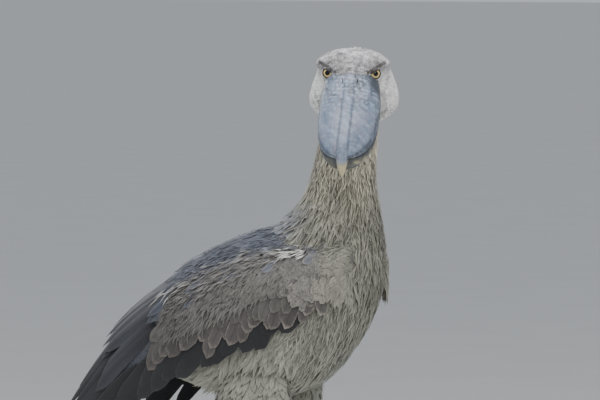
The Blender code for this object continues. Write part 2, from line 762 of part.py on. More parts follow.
def box(name, centre, half, finish):
    signs = [(-1, -1, -1), (1, -1, -1), (1, 1, -1), (-1, 1, -1)]
    signs += [(x, y, 1) for x, y, _ in signs]
    points = [np.array(centre) + np.array(s) * np.array(half) for s in signs]
    faces = [(0, 3, 2, 1), (4, 5, 6, 7), (0, 1, 5, 4), (1, 2, 6, 5), (2, 3, 7, 6), (3, 0, 4, 7)]
    return solid(name, points, faces, finish)


def claw(name, end, ahead, finish):
    """A horn claw that leaves a toe's end and bends down to just above the floor."""
    turns = np.arange(6) * math.pi / 3
    across = np.cross(ahead, (0, 0, 1))
    rings = []
    for share in np.linspace(0, 1, 5):
        reach = GAP + CLAW_LENGTH * share
        centre = end + ahead * reach
        centre[2] = end[2] + CLAW_ARCH * share - CLAW_DROP * share**2
        thick = CLAW_THICKNESS * (1 - CLAW_TAPER * share)
        ring = centre + thick * (
            0.8 * np.cos(turns)[:, None] * across
            + np.sin(turns)[:, None] * np.array([0, 0, 1.0])
        )
        ring[:, 2] = np.maximum(ring[:, 2], 0.0004)
        rings.append(ring)
    return tube(name, rings, finish)


def wing_axis():
    """Distance along the folded wing, with its stations drawn out as a smooth curve."""
    rows = np.array([row_at(WING_STATIONS, p) for p in np.linspace(0, len(WING_STATIONS) - 1, 81)])
    steps = np.linalg.norm(np.diff(rows[:, :2], axis=0), axis=1)
    return np.concatenate([[0.0], np.cumsum(steps)]), rows


WING_ALONG, WING_ROWS = wing_axis()


def wing_point(side, along, down, height):
    """A point on the folded wing: along it, down round it from its widest line, and out.

    Above the widest line the surface arches over the back, and below it hangs.
    """
    x, z, half, arch = (np.interp(along, WING_ALONG, WING_ROWS[:, k]) for k in range(4))
    turn = math.pi / 2 + min(down, 0.0) / WING_ARCH_RADIUS
    drop = max(down, 0.0)
    y = (half + height) * math.sin(turn) - WING_TUCK * drop**2
    rise = (arch + height) * math.cos(turn)
    return np.array([x, side * y, z + rise - drop])


def wing_core(side, finish):
    """The thick base that carries the vanes of one wing."""
    rings = []
    for along in np.linspace(0.004, WING_CORE_LENGTH, WING_CORE_RINGS):
        fade = math.sin(math.pi / 2 * min(1.0, (along + 0.012) / WING_CORE_ROUNDING))
        rear = min(1.0, (WING_CORE_LENGTH - along) / WING_CORE_TAPER)
        top = WING_TOP + 0.10 * (1 - fade)
        low = float(np.interp(along, *np.transpose(WING_CORE_LOW)))
        outer, inner = [], []
        for k, down in enumerate(np.linspace(top, low, WING_CORE_SIDES)):
            to_edge = min(k, WING_CORE_SIDES - 1 - k) / (WING_CORE_SIDES - 1)
            edge = min(1.0, 0.25 + 3.2 * to_edge)
            thick = WING_CORE_THICKNESS * fade * edge * (0.35 + 0.65 * rear)
            height = WING_CORE_HEIGHT - 0.004 * (1 - edge)
            outer.append(wing_point(side, along, down, height))
            inner.append(wing_point(side, along, down, height - 0.002 - thick))
        rings.append(np.array(outer + inner[::-1]))
    return tube("wing_core", rings, finish, thin_ends=True)


def vane(place, length, width, finish, outline=VANE_OUTLINE, thickness=VANE_THICKNESS):
    """One feather: a thin blade, closed, and narrow at its root and its tip.

    place gives the point at a distance along it, one sideways, and a height.
    """
    rings = []
    for share, wide in outline:
        thick = thickness * (1.25 - 0.6 * share)
        corners = ((-wide, -0.5), (wide, -0.5), (wide, 0.5), (-wide, 0.5))
        rings.append(
            np.array([place(share * length, s * width / 2, t * thick) for s, t in corners])
        )
    return tube("vane", rings, finish)


def wing_vane(side, row, share, draw, finish):
    """One vane of a wing row, at a share of the way along the row."""
    along, down, length, width, slope, low, rise, roll = (
        value[0] + (value[1] - value[0]) * share for value in row
    )
    slope = math.radians(slope) + 0.03 * draw[0]
    length *= 1 + 0.04 * draw[1]
    ahead = np.array([math.cos(slope), math.sin(slope)])
    across = np.array([-ahead[1], ahead[0]])
    lean = math.tan(math.radians(roll))

    def place(out, sideways, lift):
        spot = np.array([along, down]) + ahead * out + across * sideways
        height = low + rise * (out / length) ** 1.2 + lean * sideways + lift
        return wing_point(side, spot[0], spot[1], height)

    return vane(place, length, width, finish)


def build_wing(side, finish):
    name = "right" if side < 0 else "left"
    wing = wing_core(side, finish)
    wing.name = f"wing_{name}"
    vanes = []
    for count, *row in WING_ROWS_OF_VANES:
        for k in range(count):
            share = k / (count - 1)
            vanes.append(wing_vane(side, row, share, rng.uniform(-1, 1, 2), finish))
    combine(wing, vanes, "UNION", "MANIFOLD")
    combine(wing, [trunk_form("cut", 0, TRUNK_RINGS, finish, 2 * GAP)], "DIFFERENCE", "MANIFOLD")
    return wing


def build_tail(finish):
    """The root of the tail and its fan of vanes, closed, with the middle pair on top."""
    along = np.array([-math.cos(TAIL_SLOPE), 0.0, -math.sin(TAIL_SLOPE)])
    above = np.array([-math.sin(TAIL_SLOPE), 0.0, math.cos(TAIL_SLOPE)])
    turns = np.arange(14) * math.pi / 7
    rings = []
    for share in np.linspace(*TAIL_CORE, 6):
        centre = np.array(TAIL_ROOT) + along * TAIL_LENGTH * share
        behind = max(share, 0.0) / TAIL_CORE[1]
        narrow = 1 - 0.35 * behind
        thick = TAIL_CORE_THICKNESS * (1 - 0.75 * behind)
        rings.append(
            centre
            + np.cos(turns)[:, None] * np.array([0, TAIL_HALF_WIDTH * narrow, 0])
            + np.sin(turns)[:, None] * thick * above
        )
    tail = tube("tail", rings, finish)
    vanes = []
    for pair in range(TAIL_PAIRS):
        for side in (-1, 1):
            spread = (pair + 0.5) / TAIL_PAIRS
            vanes.append(tail_vane(along, above, side, spread, pair, finish))
    combine(tail, vanes, "UNION")
    return combine(tail, [trunk_form("cut", 0, TRUNK_RINGS, finish, 2 * GAP)], "DIFFERENCE")


def tail_vane(along, above, side, spread, pair, finish):
    root = np.array(TAIL_ROOT) + along * 0.012
    root = root + np.array([0, side * spread * TAIL_HALF_WIDTH * 0.62, 0])
    root = root + above * (0.006 - TAIL_STEP * (pair + 0.25 * side))
    heading = along + np.array([0, side * spread * TAIL_FAN, 0])
    heading = heading / np.linalg.norm(heading)
    across = np.cross(above, heading) * side
    length = TAIL_LENGTH * (1 - 0.05 * spread)

    def place(out, sideways, lift):
        roof = -TAIL_ROOF * (sideways * side + spread * TAIL_HALF_WIDTH)
        return root + heading * out + across * sideways * side + above * (lift + roof)

    return vane(place, length, TAIL_VANE_WIDTH, finish)


def build_bird():
    grey = material("plumage_grey", (0.36, 0.35, 0.33), 0.85)
    slate = material("plumage_slate", (0.16, 0.16, 0.17), 0.8)
    horn = material("bill_horn", (0.42, 0.45, 0.50), 0.45)
    iris = material("eye", (0.75, 0.62, 0.30), 0.1)
    skin = material("leg_skin", (0.12, 0.12, 0.13), 0.6)
    claws = material("claw_horn", (0.08, 0.07, 0.07), 0.4)
    head = head_form("head", grey)
    combine(head, [eye_hollow(side, grey) for side in (-1, 1)], "DIFFERENCE")
    combine(head, [lid(side, grey) for side in (-1, 1)] + crest(grey), "UNION")
    sockets = [ball("socket", eye_centre(s), EYE_RADIUS + GAP, grey) for s in (-1, 1)]
    combine(head, sockets, "DIFFERENCE")
    for side, name in ((-1, "right"), (1, "left")):
        ball(f"eye_{name}", eye_centre(side), EYE_RADIUS, iris)
    build_bill(horn)
    neck = trunk_form("neck", 0, NECK_RINGS, grey)
    throat = lower_bill_form("throat", grey, 4 * GAP)
    combine(neck, [head_form("cut", grey, GAP), throat], "DIFFERENCE")
    combine(trunk_form("torso", NECK_RINGS, TRUNK_RINGS, grey), plumes(grey), "UNION")
    for side in (-1, 1):
        build_wing(side, slate)
        build_leg(side, grey, skin, claws)
    build_tail(slate)


def shade_round():
    """Shades every solid smooth, but for its sharp edges."""
    for made in bpy.data.objects:
        made.data.shade_smooth()
        made.data.set_sharp_from_angle(angle=SHARP_ANGLE)


def centre_on_floor():
    """Moves every solid so that the origin is on the floor in the middle of the outline."""
    corners = []
    for made in bpy.data.objects:
        points = np.empty(len(made.data.vertices) * 3, np.float32)
        made.data.vertices.foreach_get("co", points)
        points = points.reshape(-1, 3)
        corners += [points.min(axis=0), points.max(axis=0)]
    low, high = np.min(corners, axis=0), np.max(corners, axis=0)
    middle = (low + high) / 2
    shift = Matrix.Translation((-middle[0], -middle[1], -low[2]))
    for made in bpy.data.objects:
        made.data.transform(shift)


clear_scene()
build_bird()
centre_on_floor()
shade_round()
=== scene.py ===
"""A life-size shoebill in full plumage that stands still and looks over its right shoulder.

Metres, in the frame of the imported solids. The body's surfaces are grids of points, and
every feather is a closed blade laid on one of them.
"""

import math

import bmesh
import bpy
import numpy as np
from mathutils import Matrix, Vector


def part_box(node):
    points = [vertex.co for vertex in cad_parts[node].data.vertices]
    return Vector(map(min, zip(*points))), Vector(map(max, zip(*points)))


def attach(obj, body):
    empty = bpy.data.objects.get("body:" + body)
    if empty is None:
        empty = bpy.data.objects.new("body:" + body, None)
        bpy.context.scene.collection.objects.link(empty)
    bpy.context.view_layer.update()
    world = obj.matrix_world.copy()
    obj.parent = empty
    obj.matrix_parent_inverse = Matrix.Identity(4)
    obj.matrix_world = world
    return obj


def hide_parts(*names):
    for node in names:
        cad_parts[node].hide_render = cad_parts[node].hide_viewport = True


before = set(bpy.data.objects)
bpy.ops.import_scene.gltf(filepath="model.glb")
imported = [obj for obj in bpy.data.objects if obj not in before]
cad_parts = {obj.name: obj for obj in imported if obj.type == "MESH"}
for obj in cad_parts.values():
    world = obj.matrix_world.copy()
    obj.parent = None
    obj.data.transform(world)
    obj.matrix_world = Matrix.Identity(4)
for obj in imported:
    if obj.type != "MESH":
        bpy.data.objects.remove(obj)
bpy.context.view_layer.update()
rng = np.random.default_rng(11)

# Neck and trunk: back x and z, breast x and z, half width, shift to the left
TRUNK_SECTIONS = [
    (0.088, 1.122, 0.166, 1.118, 0.038, -0.040),
    (0.074, 1.070, 0.162, 1.062, 0.043, -0.026),
    (0.052, 1.010, 0.150, 1.002, 0.049, -0.009),
    (0.032, 0.945, 0.143, 0.932, 0.056, 0.000),
    (0.012, 0.893, 0.150, 0.866, 0.074, 0.000),
    (-0.040, 0.848, 0.155, 0.800, 0.098, 0.000),
    (-0.102, 0.818, 0.146, 0.722, 0.114, 0.000),
    (-0.162, 0.788, 0.104, 0.638, 0.118, 0.000),
    (-0.212, 0.758, 0.030, 0.562, 0.112, 0.000),
    (-0.254, 0.728, -0.070, 0.532, 0.098, 0.000),
    (-0.290, 0.696, -0.165, 0.545, 0.080, 0.000),
    (-0.318, 0.668, -0.240, 0.566, 0.058, 0.000),
    (-0.338, 0.644, -0.296, 0.590, 0.034, 0.000),
]
TRUNK_FIRST = 0.35
TRUNK_LAST = 11.9

# The head's own frame: x forward along the mouth line, y left, z up, zero between the eyes
HEAD_PLACE = np.array((0.1382, -0.0729, 1.1300))
HEAD_YAW = math.radians(-70.0)
HEAD_PITCH = math.radians(36.0)
HEAD_ROLL = math.radians(-1.0)
# x, crown z, brow half width and z, temple half width and z, cheek half width and z, chin z
HEAD_SECTIONS = [
    (-0.090, -0.020, 0.016, -0.024, 0.021, -0.034, 0.017, -0.045, -0.052),
    (-0.081, -0.011, 0.033, -0.018, 0.040, -0.032, 0.035, -0.058, -0.076),
    (-0.062, 0.004, 0.047, -0.009, 0.055, -0.030, 0.055, -0.066, -0.097),
    (-0.040, 0.020, 0.060, -0.002, 0.065, -0.024, 0.071, -0.068, -0.110),
    (-0.018, 0.029, 0.065, 0.007, 0.062, -0.020, 0.079, -0.072, -0.115),
    (0.000, 0.030, 0.058, 0.012, 0.055, -0.016, 0.079, -0.073, -0.116),
    (0.014, 0.0235, 0.043, 0.010, 0.047, -0.014, 0.068, -0.070, -0.114),
    (0.026, 0.0165, 0.027, 0.008, 0.041, -0.014, 0.054, -0.062, -0.105),
    (0.035, 0.0050, 0.021, 0.000, 0.035, -0.014, 0.047, -0.055, -0.099),
]
EYE_PLACE = (0.0060, 0.0400, -0.0005)
EYE_RADIUS = 0.0135
EYE_LOOKS = (0.70, 0.50, 0.50)
EYE_HOLLOW = [(0.0060, 0.0090), (0.0110, 0.0125), (0.0300, 0.0330)]
BILL_LEAN = 0.006
BILL_REACH = 0.200

# Folded wing: x, axis z, half width and height of the arch above the axis
WING_STATIONS = [
    (0.128, 0.768, 0.092, 0.072),
    (0.070, 0.752, 0.122, 0.098),
    (-0.030, 0.722, 0.138, 0.126),
    (-0.120, 0.692, 0.137, 0.128),
    (-0.210, 0.655, 0.122, 0.121),
    (-0.290, 0.612, 0.100, 0.114),
    (-0.360, 0.565, 0.080, 0.100),
    (-0.430, 0.508, 0.062, 0.070),
    (-0.500, 0.440, 0.044, 0.044),
]
WING_ARCH_RADIUS = 0.135
WING_TUCK = 1.6
WING_TOP = -0.200
WING_LOW = 0.170

# Legs: hip, hock and foot of each, and the feathered thigh's half widths down it
HIP_HALF = 0.068
STANCE_HALF = 0.082
FOOT_X = {"right": -0.030, "left": -0.062}
HOCK_HEIGHT = 0.268
FOOT_HEIGHT = 0.022
# How far the hock lies behind the foot and inside it
HOCK_BACK = 0.048
HOCK_INSIDE = 0.004
THIGH_TOP = (-0.055, 0.600)
TROUSER_Z = 0.350
THIGH_WIDTHS = [(0.030, 0.060), (0.043, 0.072), (0.040, 0.062), (0.029, 0.043), (0.016, 0.020)]

# Stations down the shin and the tarsus, and the half widths across and fore and aft at each
SHIN_SHARES = (0.0, 0.35, 0.7)
TARSUS_SHARES = (0.03, 0.12, 0.3, 0.6, 0.88, 1.0)
SHANK_WIDTHS = [
    (0.0096, 0.0116), (0.0096, 0.0111), (0.0130, 0.0140),
    (0.0160, 0.0170), (0.0130, 0.0145), (0.0092, 0.0112),
    (0.0087, 0.0102), (0.0102, 0.0112), (0.0145, 0.0135),
]

SIDES = {"right": -1, "left": 1}
UP = np.array([0.0, 0.0, 1.0])


def row_at(table, place):
    """One row of a table at a fractional index, on a smooth curve through its rows."""
    rows = np.asarray(table, float)
    i = int(min(max(math.floor(place), 0), len(rows) - 2))
    t = place - i
    before = rows[i - 1] if i > 0 else 2 * rows[i] - rows[i + 1]
    after = rows[i + 2] if i + 2 < len(rows) else 2 * rows[i + 1] - rows[i]
    a, b = rows[i], rows[i + 1]
    return 0.5 * (
        2 * a
        + (b - before) * t
        + (2 * before - 5 * a + 4 * b - after) * t**2
        + (3 * a - before - 3 * b + after) * t**3
    )


def rows_at(table, places):
    return np.array([row_at(table, place) for place in places])


def unit(vectors):
    return vectors / np.maximum(np.linalg.norm(vectors, axis=-1, keepdims=True), 1e-12)


def ease(values, low, high):
    """A smooth step from 0 at low to 1 at high."""
    t = np.clip((np.asarray(values, float) - low) / (high - low), 0, 1)
    return t * t * (3 - 2 * t)


def full_turn(count):
    """Angles evenly round a circle."""
    return np.arange(count) * 2 * math.pi / count


def mirrored(place, side):
    """A place or a way given for the left, on either side."""
    return np.array(place) * (1, side, 1)


def level_frame(axis):
    """The level way across an axis, and the way up across both."""
    across = unit(np.cross(axis, (0.0, 0.0, 1.0)))
    return across, np.cross(across, axis)


def toward(tint, goal, share):
    """A tint drawn towards another by each point's share."""
    return tint + (goal - tint) * np.asarray(share)[:, None]


def only(keep, *values):
    return [value[keep] for value in values]


def turn_matrix(axis, angle):
    c, s = math.cos(angle), math.sin(angle)
    made = np.eye(3)
    i, j = [(1, 2), (2, 0), (0, 1)]["xyz".index(axis)]
    made[i, i] = made[j, j] = c
    made[i, j], made[j, i] = -s, s
    return made


HEAD_TURN = turn_matrix("z", HEAD_YAW) @ turn_matrix("y", HEAD_PITCH) @ turn_matrix("x", HEAD_ROLL)


def from_head(points, shift):
    points = np.array(points, float)
    points[..., 1] -= BILL_LEAN * np.clip(points[..., 0] / BILL_REACH, 0, None) ** 2
    return points @ HEAD_TURN.T + HEAD_PLACE + shift


def frame_shift():
    """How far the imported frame's origin lies from the one the sections are given in."""
    eye = np.mean([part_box("eye_left")[0][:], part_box("eye_left")[1][:]], axis=0)
    return eye - from_head(EYE_PLACE, np.zeros(3))


SHIFT = frame_shift()


def head_points(points):
    return from_head(points, SHIFT)


def head_direction(vector):
    return unit(np.asarray(vector, float) @ HEAD_TURN.T)


# How far roots stray from their places, as a share of the gap between them, and the small
# step over which a surface's slopes are taken
ROOT_JITTER = 0.3
SLOPE_STEP = 0.004


class Surface:
    """A grid of points with outward normals, read at shares u along and v round it."""

    def __init__(self, points, closed, inside=None):
        self.points = points
        self.closed = closed
        along = np.gradient(points, axis=0)
        if closed:
            around = (np.roll(points, -1, axis=1) - np.roll(points, 1, axis=1)) / 2
        else:
            around = np.gradient(points, axis=1)
        normals = unit(np.cross(along, around))
        if inside is None:
            inside = points.mean(axis=1, keepdims=True)
        if np.sum(normals * (points - inside)) < 0:
            normals = -normals
        self.normals = normals

    def read(self, grid, u, v):
        rings, sides = grid.shape[:2]
        x = np.clip(u, -0.04, 1.12) * (rings - 1)
        i = np.clip(x.astype(int), 0, rings - 2)
        if self.closed:
            y = (v % 1.0) * sides
            j = y.astype(int) % sides
            k = (j + 1) % sides
        else:
            y = np.clip(v, 0, 1) * (sides - 1)
            j = np.clip(y.astype(int), 0, sides - 2)
            k = j + 1
        a, b = (x - i)[..., None], (y - np.floor(y) if self.closed else y - j)[..., None]
        return (1 - a) * ((1 - b) * grid[i, j] + b * grid[i, k]) + a * (
            (1 - b) * grid[i + 1, j] + b * grid[i + 1, k]
        )

    def at(self, u, v, height=0.0):
        u, v = np.asarray(u, float), np.asarray(v, float)
        normals = unit(self.read(self.normals, u, v))
        return self.read(self.points, u, v) + normals * np.asarray(height)[..., None]

    def slopes(self, u, v):
        """How the point moves with u and with v."""
        step = SLOPE_STEP
        by_u = (self.at(u + step, v) - self.at(u - step, v)) / (2 * step)
        by_v = (self.at(u, v + step) - self.at(u, v - step)) / (2 * step)
        return by_u, by_v

    def row(self, u, spacing, shift=0.0, first=0.0, last=1.0):
        """Shares v at an even spacing along one ring, between two of its shares."""
        v = np.linspace(first, last, 181)
        ring = self.at(np.full(v.shape, u), v)
        run = np.concatenate([[0], np.cumsum(np.linalg.norm(np.diff(ring, axis=0), axis=1))])
        count = max(1, int(run[-1] / spacing))
        return np.interp((np.arange(count) + 0.5 + shift) * run[-1] / count % run[-1], run, v)

    def rows(self, start, stop, row_gap, spacing, first=0.0, last=1.0):
        """Staggered roots all over the surface, a gap apart from row to row."""
        u = np.linspace(start, stop, 200)
        run = np.zeros(len(u))
        for v in np.linspace(first, last, 5):
            line = self.at(u, np.full(u.shape, v))
            run[1:] += np.cumsum(np.linalg.norm(np.diff(line, axis=0), axis=1)) / 5
        count = max(1, int(run[-1] / row_gap))
        us, vs = [], []
        for k in range(count):
            place = np.interp((k + 0.5) * run[-1] / count, run, u)
            step = (stop - start) / count
            v = self.row(place, spacing, 0.5 * (k % 2), first, last)
            wide = (last - first) / max(len(v), 1)
            us.append(place + step * ROOT_JITTER * rng.uniform(-1, 1, len(v)))
            vs.append(v + wide * ROOT_JITTER * rng.uniform(-1, 1, len(v)))
        return np.concatenate(us), np.concatenate(vs)


def trunk_surface():
    places = np.linspace(TRUNK_FIRST, TRUNK_LAST, 300)
    rows = rows_at(TRUNK_SECTIONS, places)
    back, belly = rows[:, (0, 5, 1)], rows[:, (2, 5, 3)]
    middle, reach = (back + belly) / 2, (belly - back) / 2
    turns = full_turn(300)
    aside = rows[:, 4][:, None, None] * np.array([0.0, 1.0, 0.0])
    points = (
        middle[:, None]
        + np.cos(turns)[None, :, None] * reach[:, None]
        + np.sin(turns)[None, :, None] * aside
    )
    return Surface(points + SHIFT, True)


def head_ring(place, steps):
    x, crown, brow, brow_z, temple, temple_z, cheek, cheek_z, chin = row_at(
        HEAD_SECTIONS, place
    )
    half = [
        (0.0, crown),
        (0.56 * brow, crown - 0.16 * (crown - brow_z)),
        (brow, brow_z),
        (temple, temple_z),
        (cheek, cheek_z),
        (0.62 * cheek, chin + 0.22 * (cheek_z - chin)),
        (0.0, chin),
    ]
    loop = half + [(-y, z) for y, z in reversed(half[1:-1])]
    closed = [loop[-1], *loop, loop[0], loop[1]]
    yz = rows_at(closed, 1 + np.arange(len(loop) * steps) / steps)
    return np.column_stack([np.full(len(yz), x), yz])


def head_surface():
    rings = [head_ring(place, 10) for place in np.linspace(0, len(HEAD_SECTIONS) - 1, 110)]
    cap = []
    for share in np.linspace(1, 0, 12)[:-1]:
        ring = rings[0].copy()
        middle = ring.mean(axis=0)
        ring = middle + (ring - middle) * math.cos(share * math.pi / 2 * 0.97)
        ring[:, 0] -= 0.012 * math.sin(share * math.pi / 2)
        cap.append(ring)
    return Surface(head_points(np.array(cap + rings)), True)


def wing_axis():
    rows = rows_at(WING_STATIONS, np.linspace(0, len(WING_STATIONS) - 1, 161))
    steps = np.linalg.norm(np.diff(rows[:, :2], axis=0), axis=1)
    return np.concatenate([[0.0], np.cumsum(steps)]), rows


WING_ALONG, WING_ROWS = wing_axis()
WING_SPAN = (-0.030, 0.720)


def wing_surface(side):
    """The folded wing: u runs along it, and v down round it from the back."""
    along = np.linspace(*WING_SPAN, 300)[:, None]
    down = np.linspace(WING_TOP, WING_LOW, 160)[None, :]
    x, z, half, arch = (np.interp(along, WING_ALONG, WING_ROWS[:, k]) for k in range(4))
    ahead = np.maximum(-along, 0)
    x = x + ahead * 0.45
    half = half - ahead * 1.6
    arch = arch - ahead * 1.3
    turn = math.pi / 2 + np.minimum(down, 0.0) / WING_ARCH_RADIUS
    drop = np.maximum(down, 0.0)
    y = half * np.sin(turn) - WING_TUCK * drop**2
    height = z + arch * np.cos(turn) - drop
    points = np.stack([x + 0 * down, side * y, height], axis=-1) + SHIFT
    inside = np.stack([x + 0 * down, 0 * y, z - 0.05 + 0 * y], axis=-1) + SHIFT
    return Surface(points, False, inside)


def leg_line(side, name):
    """Hip, the lower edge of the trousers, hock and foot."""
    foot = np.array([FOOT_X[name], side * STANCE_HALF, FOOT_HEIGHT])
    hock = np.array([FOOT_X[name] - HOCK_BACK, side * (STANCE_HALF - HOCK_INSIDE), HOCK_HEIGHT])
    hip = np.array([THIGH_TOP[0], side * HIP_HALF, THIGH_TOP[1]])
    cuff = hip + (hock - hip) * (hip[2] - TROUSER_Z) / (hip[2] - hock[2])
    return hip, cuff, hock, foot


def thigh_surface(side, name):
    hip, cuff, _, _ = leg_line(side, name)
    shares = np.linspace(0, 1, 80)
    widths = rows_at(THIGH_WIDTHS, shares * (len(THIGH_WIDTHS) - 1))
    turns = full_turn(96)
    along = unit(cuff - hip)
    right = unit(np.cross(along, (1.0, 0.0, 0.0)))
    ahead = np.cross(right, along)
    points = (
        hip
        + shares[:, None, None] * (cuff - hip)
        + np.cos(turns)[None, :, None] * widths[:, 0][:, None, None] * right
        + np.sin(turns)[None, :, None] * widths[:, 1][:, None, None] * ahead
    )
    return Surface(points + SHIFT, True)


def mesh_from(name, points, faces):
    mesh = bpy.data.meshes.new(name)
    mesh.from_pydata(np.asarray(points).tolist(), [], [tuple(face) for face in faces])
    return mesh


def object_from(mesh, name):
    made = bpy.data.objects.new(name, mesh)
    bpy.context.scene.collection.objects.link(made)
    return made


def grid_faces(rings, sides, closed):
    steps = np.arange(sides if closed else sides - 1)
    i, j = np.meshgrid(np.arange(rings - 1), steps, indexing="ij")
    a, b = i * sides + j, i * sides + (j + 1) % sides
    return np.stack([a, b, b + sides, a + sides], axis=-1).reshape(-1, 4)


def lofted(name, rings):
    """A closed mesh through rings of points, with a fan over each end."""
    rings = np.asarray(rings)
    count, sides = rings.shape[:2]
    points = np.concatenate([rings.reshape(-1, 3), rings[:1].mean(axis=1), rings[-1:].mean(axis=1)])
    faces = [tuple(f) for f in grid_faces(count, sides, True).tolist()]
    first, last = count * sides, count * sides + 1
    for k in range(sides):
        after = (k + 1) % sides
        faces.append((first, after, k))
        faces.append((last, (count - 1) * sides + k, (count - 1) * sides + after))
    mesh = mesh_from(name, points, faces)
    shape = bmesh.new()
    shape.from_mesh(mesh)
    if shape.calc_volume(signed=True) < 0:
        bmesh.ops.reverse_faces(shape, faces=shape.faces)
    shape.to_mesh(mesh)
    shape.free()
    return mesh


def joined(name, meshes):
    shape = bmesh.new()
    for mesh in meshes:
        shape.from_mesh(mesh)
    mesh = bpy.data.meshes.new(name)
    shape.to_mesh(mesh)
    shape.free()
    return mesh


def evaluated(made):
    """Puts the result of an object's modifiers in its mesh."""
    graph = bpy.context.evaluated_depsgraph_get()
    result = bpy.data.meshes.new_from_object(made.evaluated_get(graph))
    made.modifiers.clear()
    made.data = result
    return made


def melted(name, meshes, voxel, rounds):
    """Closed meshes that overlap, made one closed surface of even faces and eased."""
    made = object_from(joined(name, meshes), name)
    modifier = made.modifiers.new("one surface", "REMESH")
    modifier.mode = "VOXEL"
    modifier.voxel_size = voxel
    modifier.use_smooth_shade = True
    evaluated(made)
    smooth = made.modifiers.new("ease", "SMOOTH")
    smooth.factor = 0.5
    smooth.iterations = rounds
    return evaluated(made)


def cut(made, meshes):
    """Takes closed meshes away from a piece."""
    tools = [object_from(mesh, "tool") for mesh in meshes]
    for tool in tools:
        modifier = made.modifiers.new("cut", "BOOLEAN")
        modifier.operation = "DIFFERENCE"
        modifier.solver = "EXACT"
        modifier.object = tool
    evaluated(made)
    for tool in tools:
        bpy.data.objects.remove(tool)
    return made


def points_of(mesh):
    points = np.empty(len(mesh.vertices) * 3, np.float32)
    mesh.vertices.foreach_get("co", points)
    return points.reshape(-1, 3).astype(float)


def set_points(mesh, points):
    mesh.vertices.foreach_set("co", np.asarray(points, np.float32).ravel())
    mesh.update()


def paint(mesh, name, colours):
    """Stores a colour on every point of a mesh."""
    layer = mesh.color_attributes.new(name, "FLOAT_COLOR", "POINT")
    filled = np.ones((len(mesh.vertices), 4), np.float32)
    filled[:, :3] = colours
    layer.data.foreach_set("color", filled.ravel())


def map_points(mesh, name, values):
    """Stores a UV map given by point."""
    corners = np.empty(len(mesh.loops), np.int32)
    mesh.loops.foreach_get("vertex_index", corners)
    layer = mesh.uv_layers.new(name=name)
    layer.data.foreach_set("uv", np.asarray(values, np.float32)[corners].ravel())


def finish_piece(made, material, slot, *nodes):
    """Gives a piece its material, its body and the solids it stands for."""
    made.data.materials.clear()
    made.data.materials.append(material)
    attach(made, "root")
    if nodes:
        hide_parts(*nodes)
    return made


def colour(code):
    """A colour of light from its usual six-digit code."""
    values = [int(code[i : i + 2], 16) / 255 for i in (0, 2, 4)]
    return np.array([v / 12.92 if v <= 0.04045 else ((v + 0.055) / 1.055) ** 2.4 for v in values])


def mottle(points, size, seed):
    """Soft patches over space, from -1 to 1, about a size across."""
    draw = np.random.default_rng(seed)
    total = np.zeros(len(points))
    for k in range(9):
        wave = draw.normal(size=3)
        wave = wave / np.linalg.norm(wave) * (2 * math.pi / size) * draw.uniform(0.6, 1.6)
        total += np.sin(points @ wave + draw.uniform(0, 6.28))
    return np.clip(total / 3.6, -1, 1)


def strands(u, v, along, around, seed):
    """Streaks that run along a surface, from -1 to 1, so many along it and round it."""
    turn = v * 2 * math.pi
    place = np.stack([np.cos(turn) * around / 6.3, np.sin(turn) * around / 6.3, u * along], axis=-1)
    return mottle(place, 1.0, seed)


class Blade:
    """The shape of one kind of feather: rings of points over its top and back under."""

    def __init__(self, shares, widths, columns):
        top = list(columns)
        loop = [(t, 1.0) for t in top] + [(t, -1.0) for t in top[-2:0:-1]]
        size = len(loop)
        count = len(shares)
        self.s = np.concatenate([[0.0], np.repeat(shares, size), [1.0]])
        self.t = np.concatenate([[0.0], np.tile([t for t, _ in loop], count), [0.0]])
        edge = np.array([0.0 if abs(t) == 1 else side for t, side in loop])
        self.face = np.concatenate([[0.0], np.tile(edge, count), [0.0]])
        self.ring = np.concatenate([[0], np.repeat(np.arange(count), size), [count - 1]])
        self.wide = np.concatenate([[0.0], np.repeat(widths, size), [0.0]])
        self.rings = count
        faces = []
        for j in range(size):
            after = (j + 1) % size
            faces.append((0, 1 + j, 1 + after))
            for k in range(count - 1):
                a, b = 1 + k * size, 1 + (k + 1) * size
                faces.append((a + j, b + j, b + after))
                faces.append((a + j, b + after, a + after))
            a = 1 + (count - 1) * size
            faces.append((a + j, len(self.s) - 1, a + after))
        self.faces = np.array(faces)


BODY_BLADE = Blade((0.12, 0.45, 0.80), (0.55, 1.0, 0.72), (-1, 0, 1))
PLUME_BLADE = Blade((0.08, 0.34, 0.62, 0.86), (0.55, 1.0, 0.70, 0.28), (-1, 0, 1))
COVERT_BLADE = Blade(
    (0.04, 0.22, 0.50, 0.74, 0.88, 0.955, 0.988),
    (0.42, 0.82, 1.0, 1.0, 0.88, 0.66, 0.40),
    (-1, -0.5, 0, 0.5, 1),
)
LONG_BLADE = Blade(
    (0.02, 0.12, 0.30, 0.50, 0.68, 0.82, 0.91, 0.965, 0.99),
    (0.30, 0.66, 0.92, 1.0, 0.98, 0.90, 0.74, 0.50, 0.26),
    (-1, -0.66, -0.33, -0.05, 0, 0.05, 0.33, 0.66, 1),
)


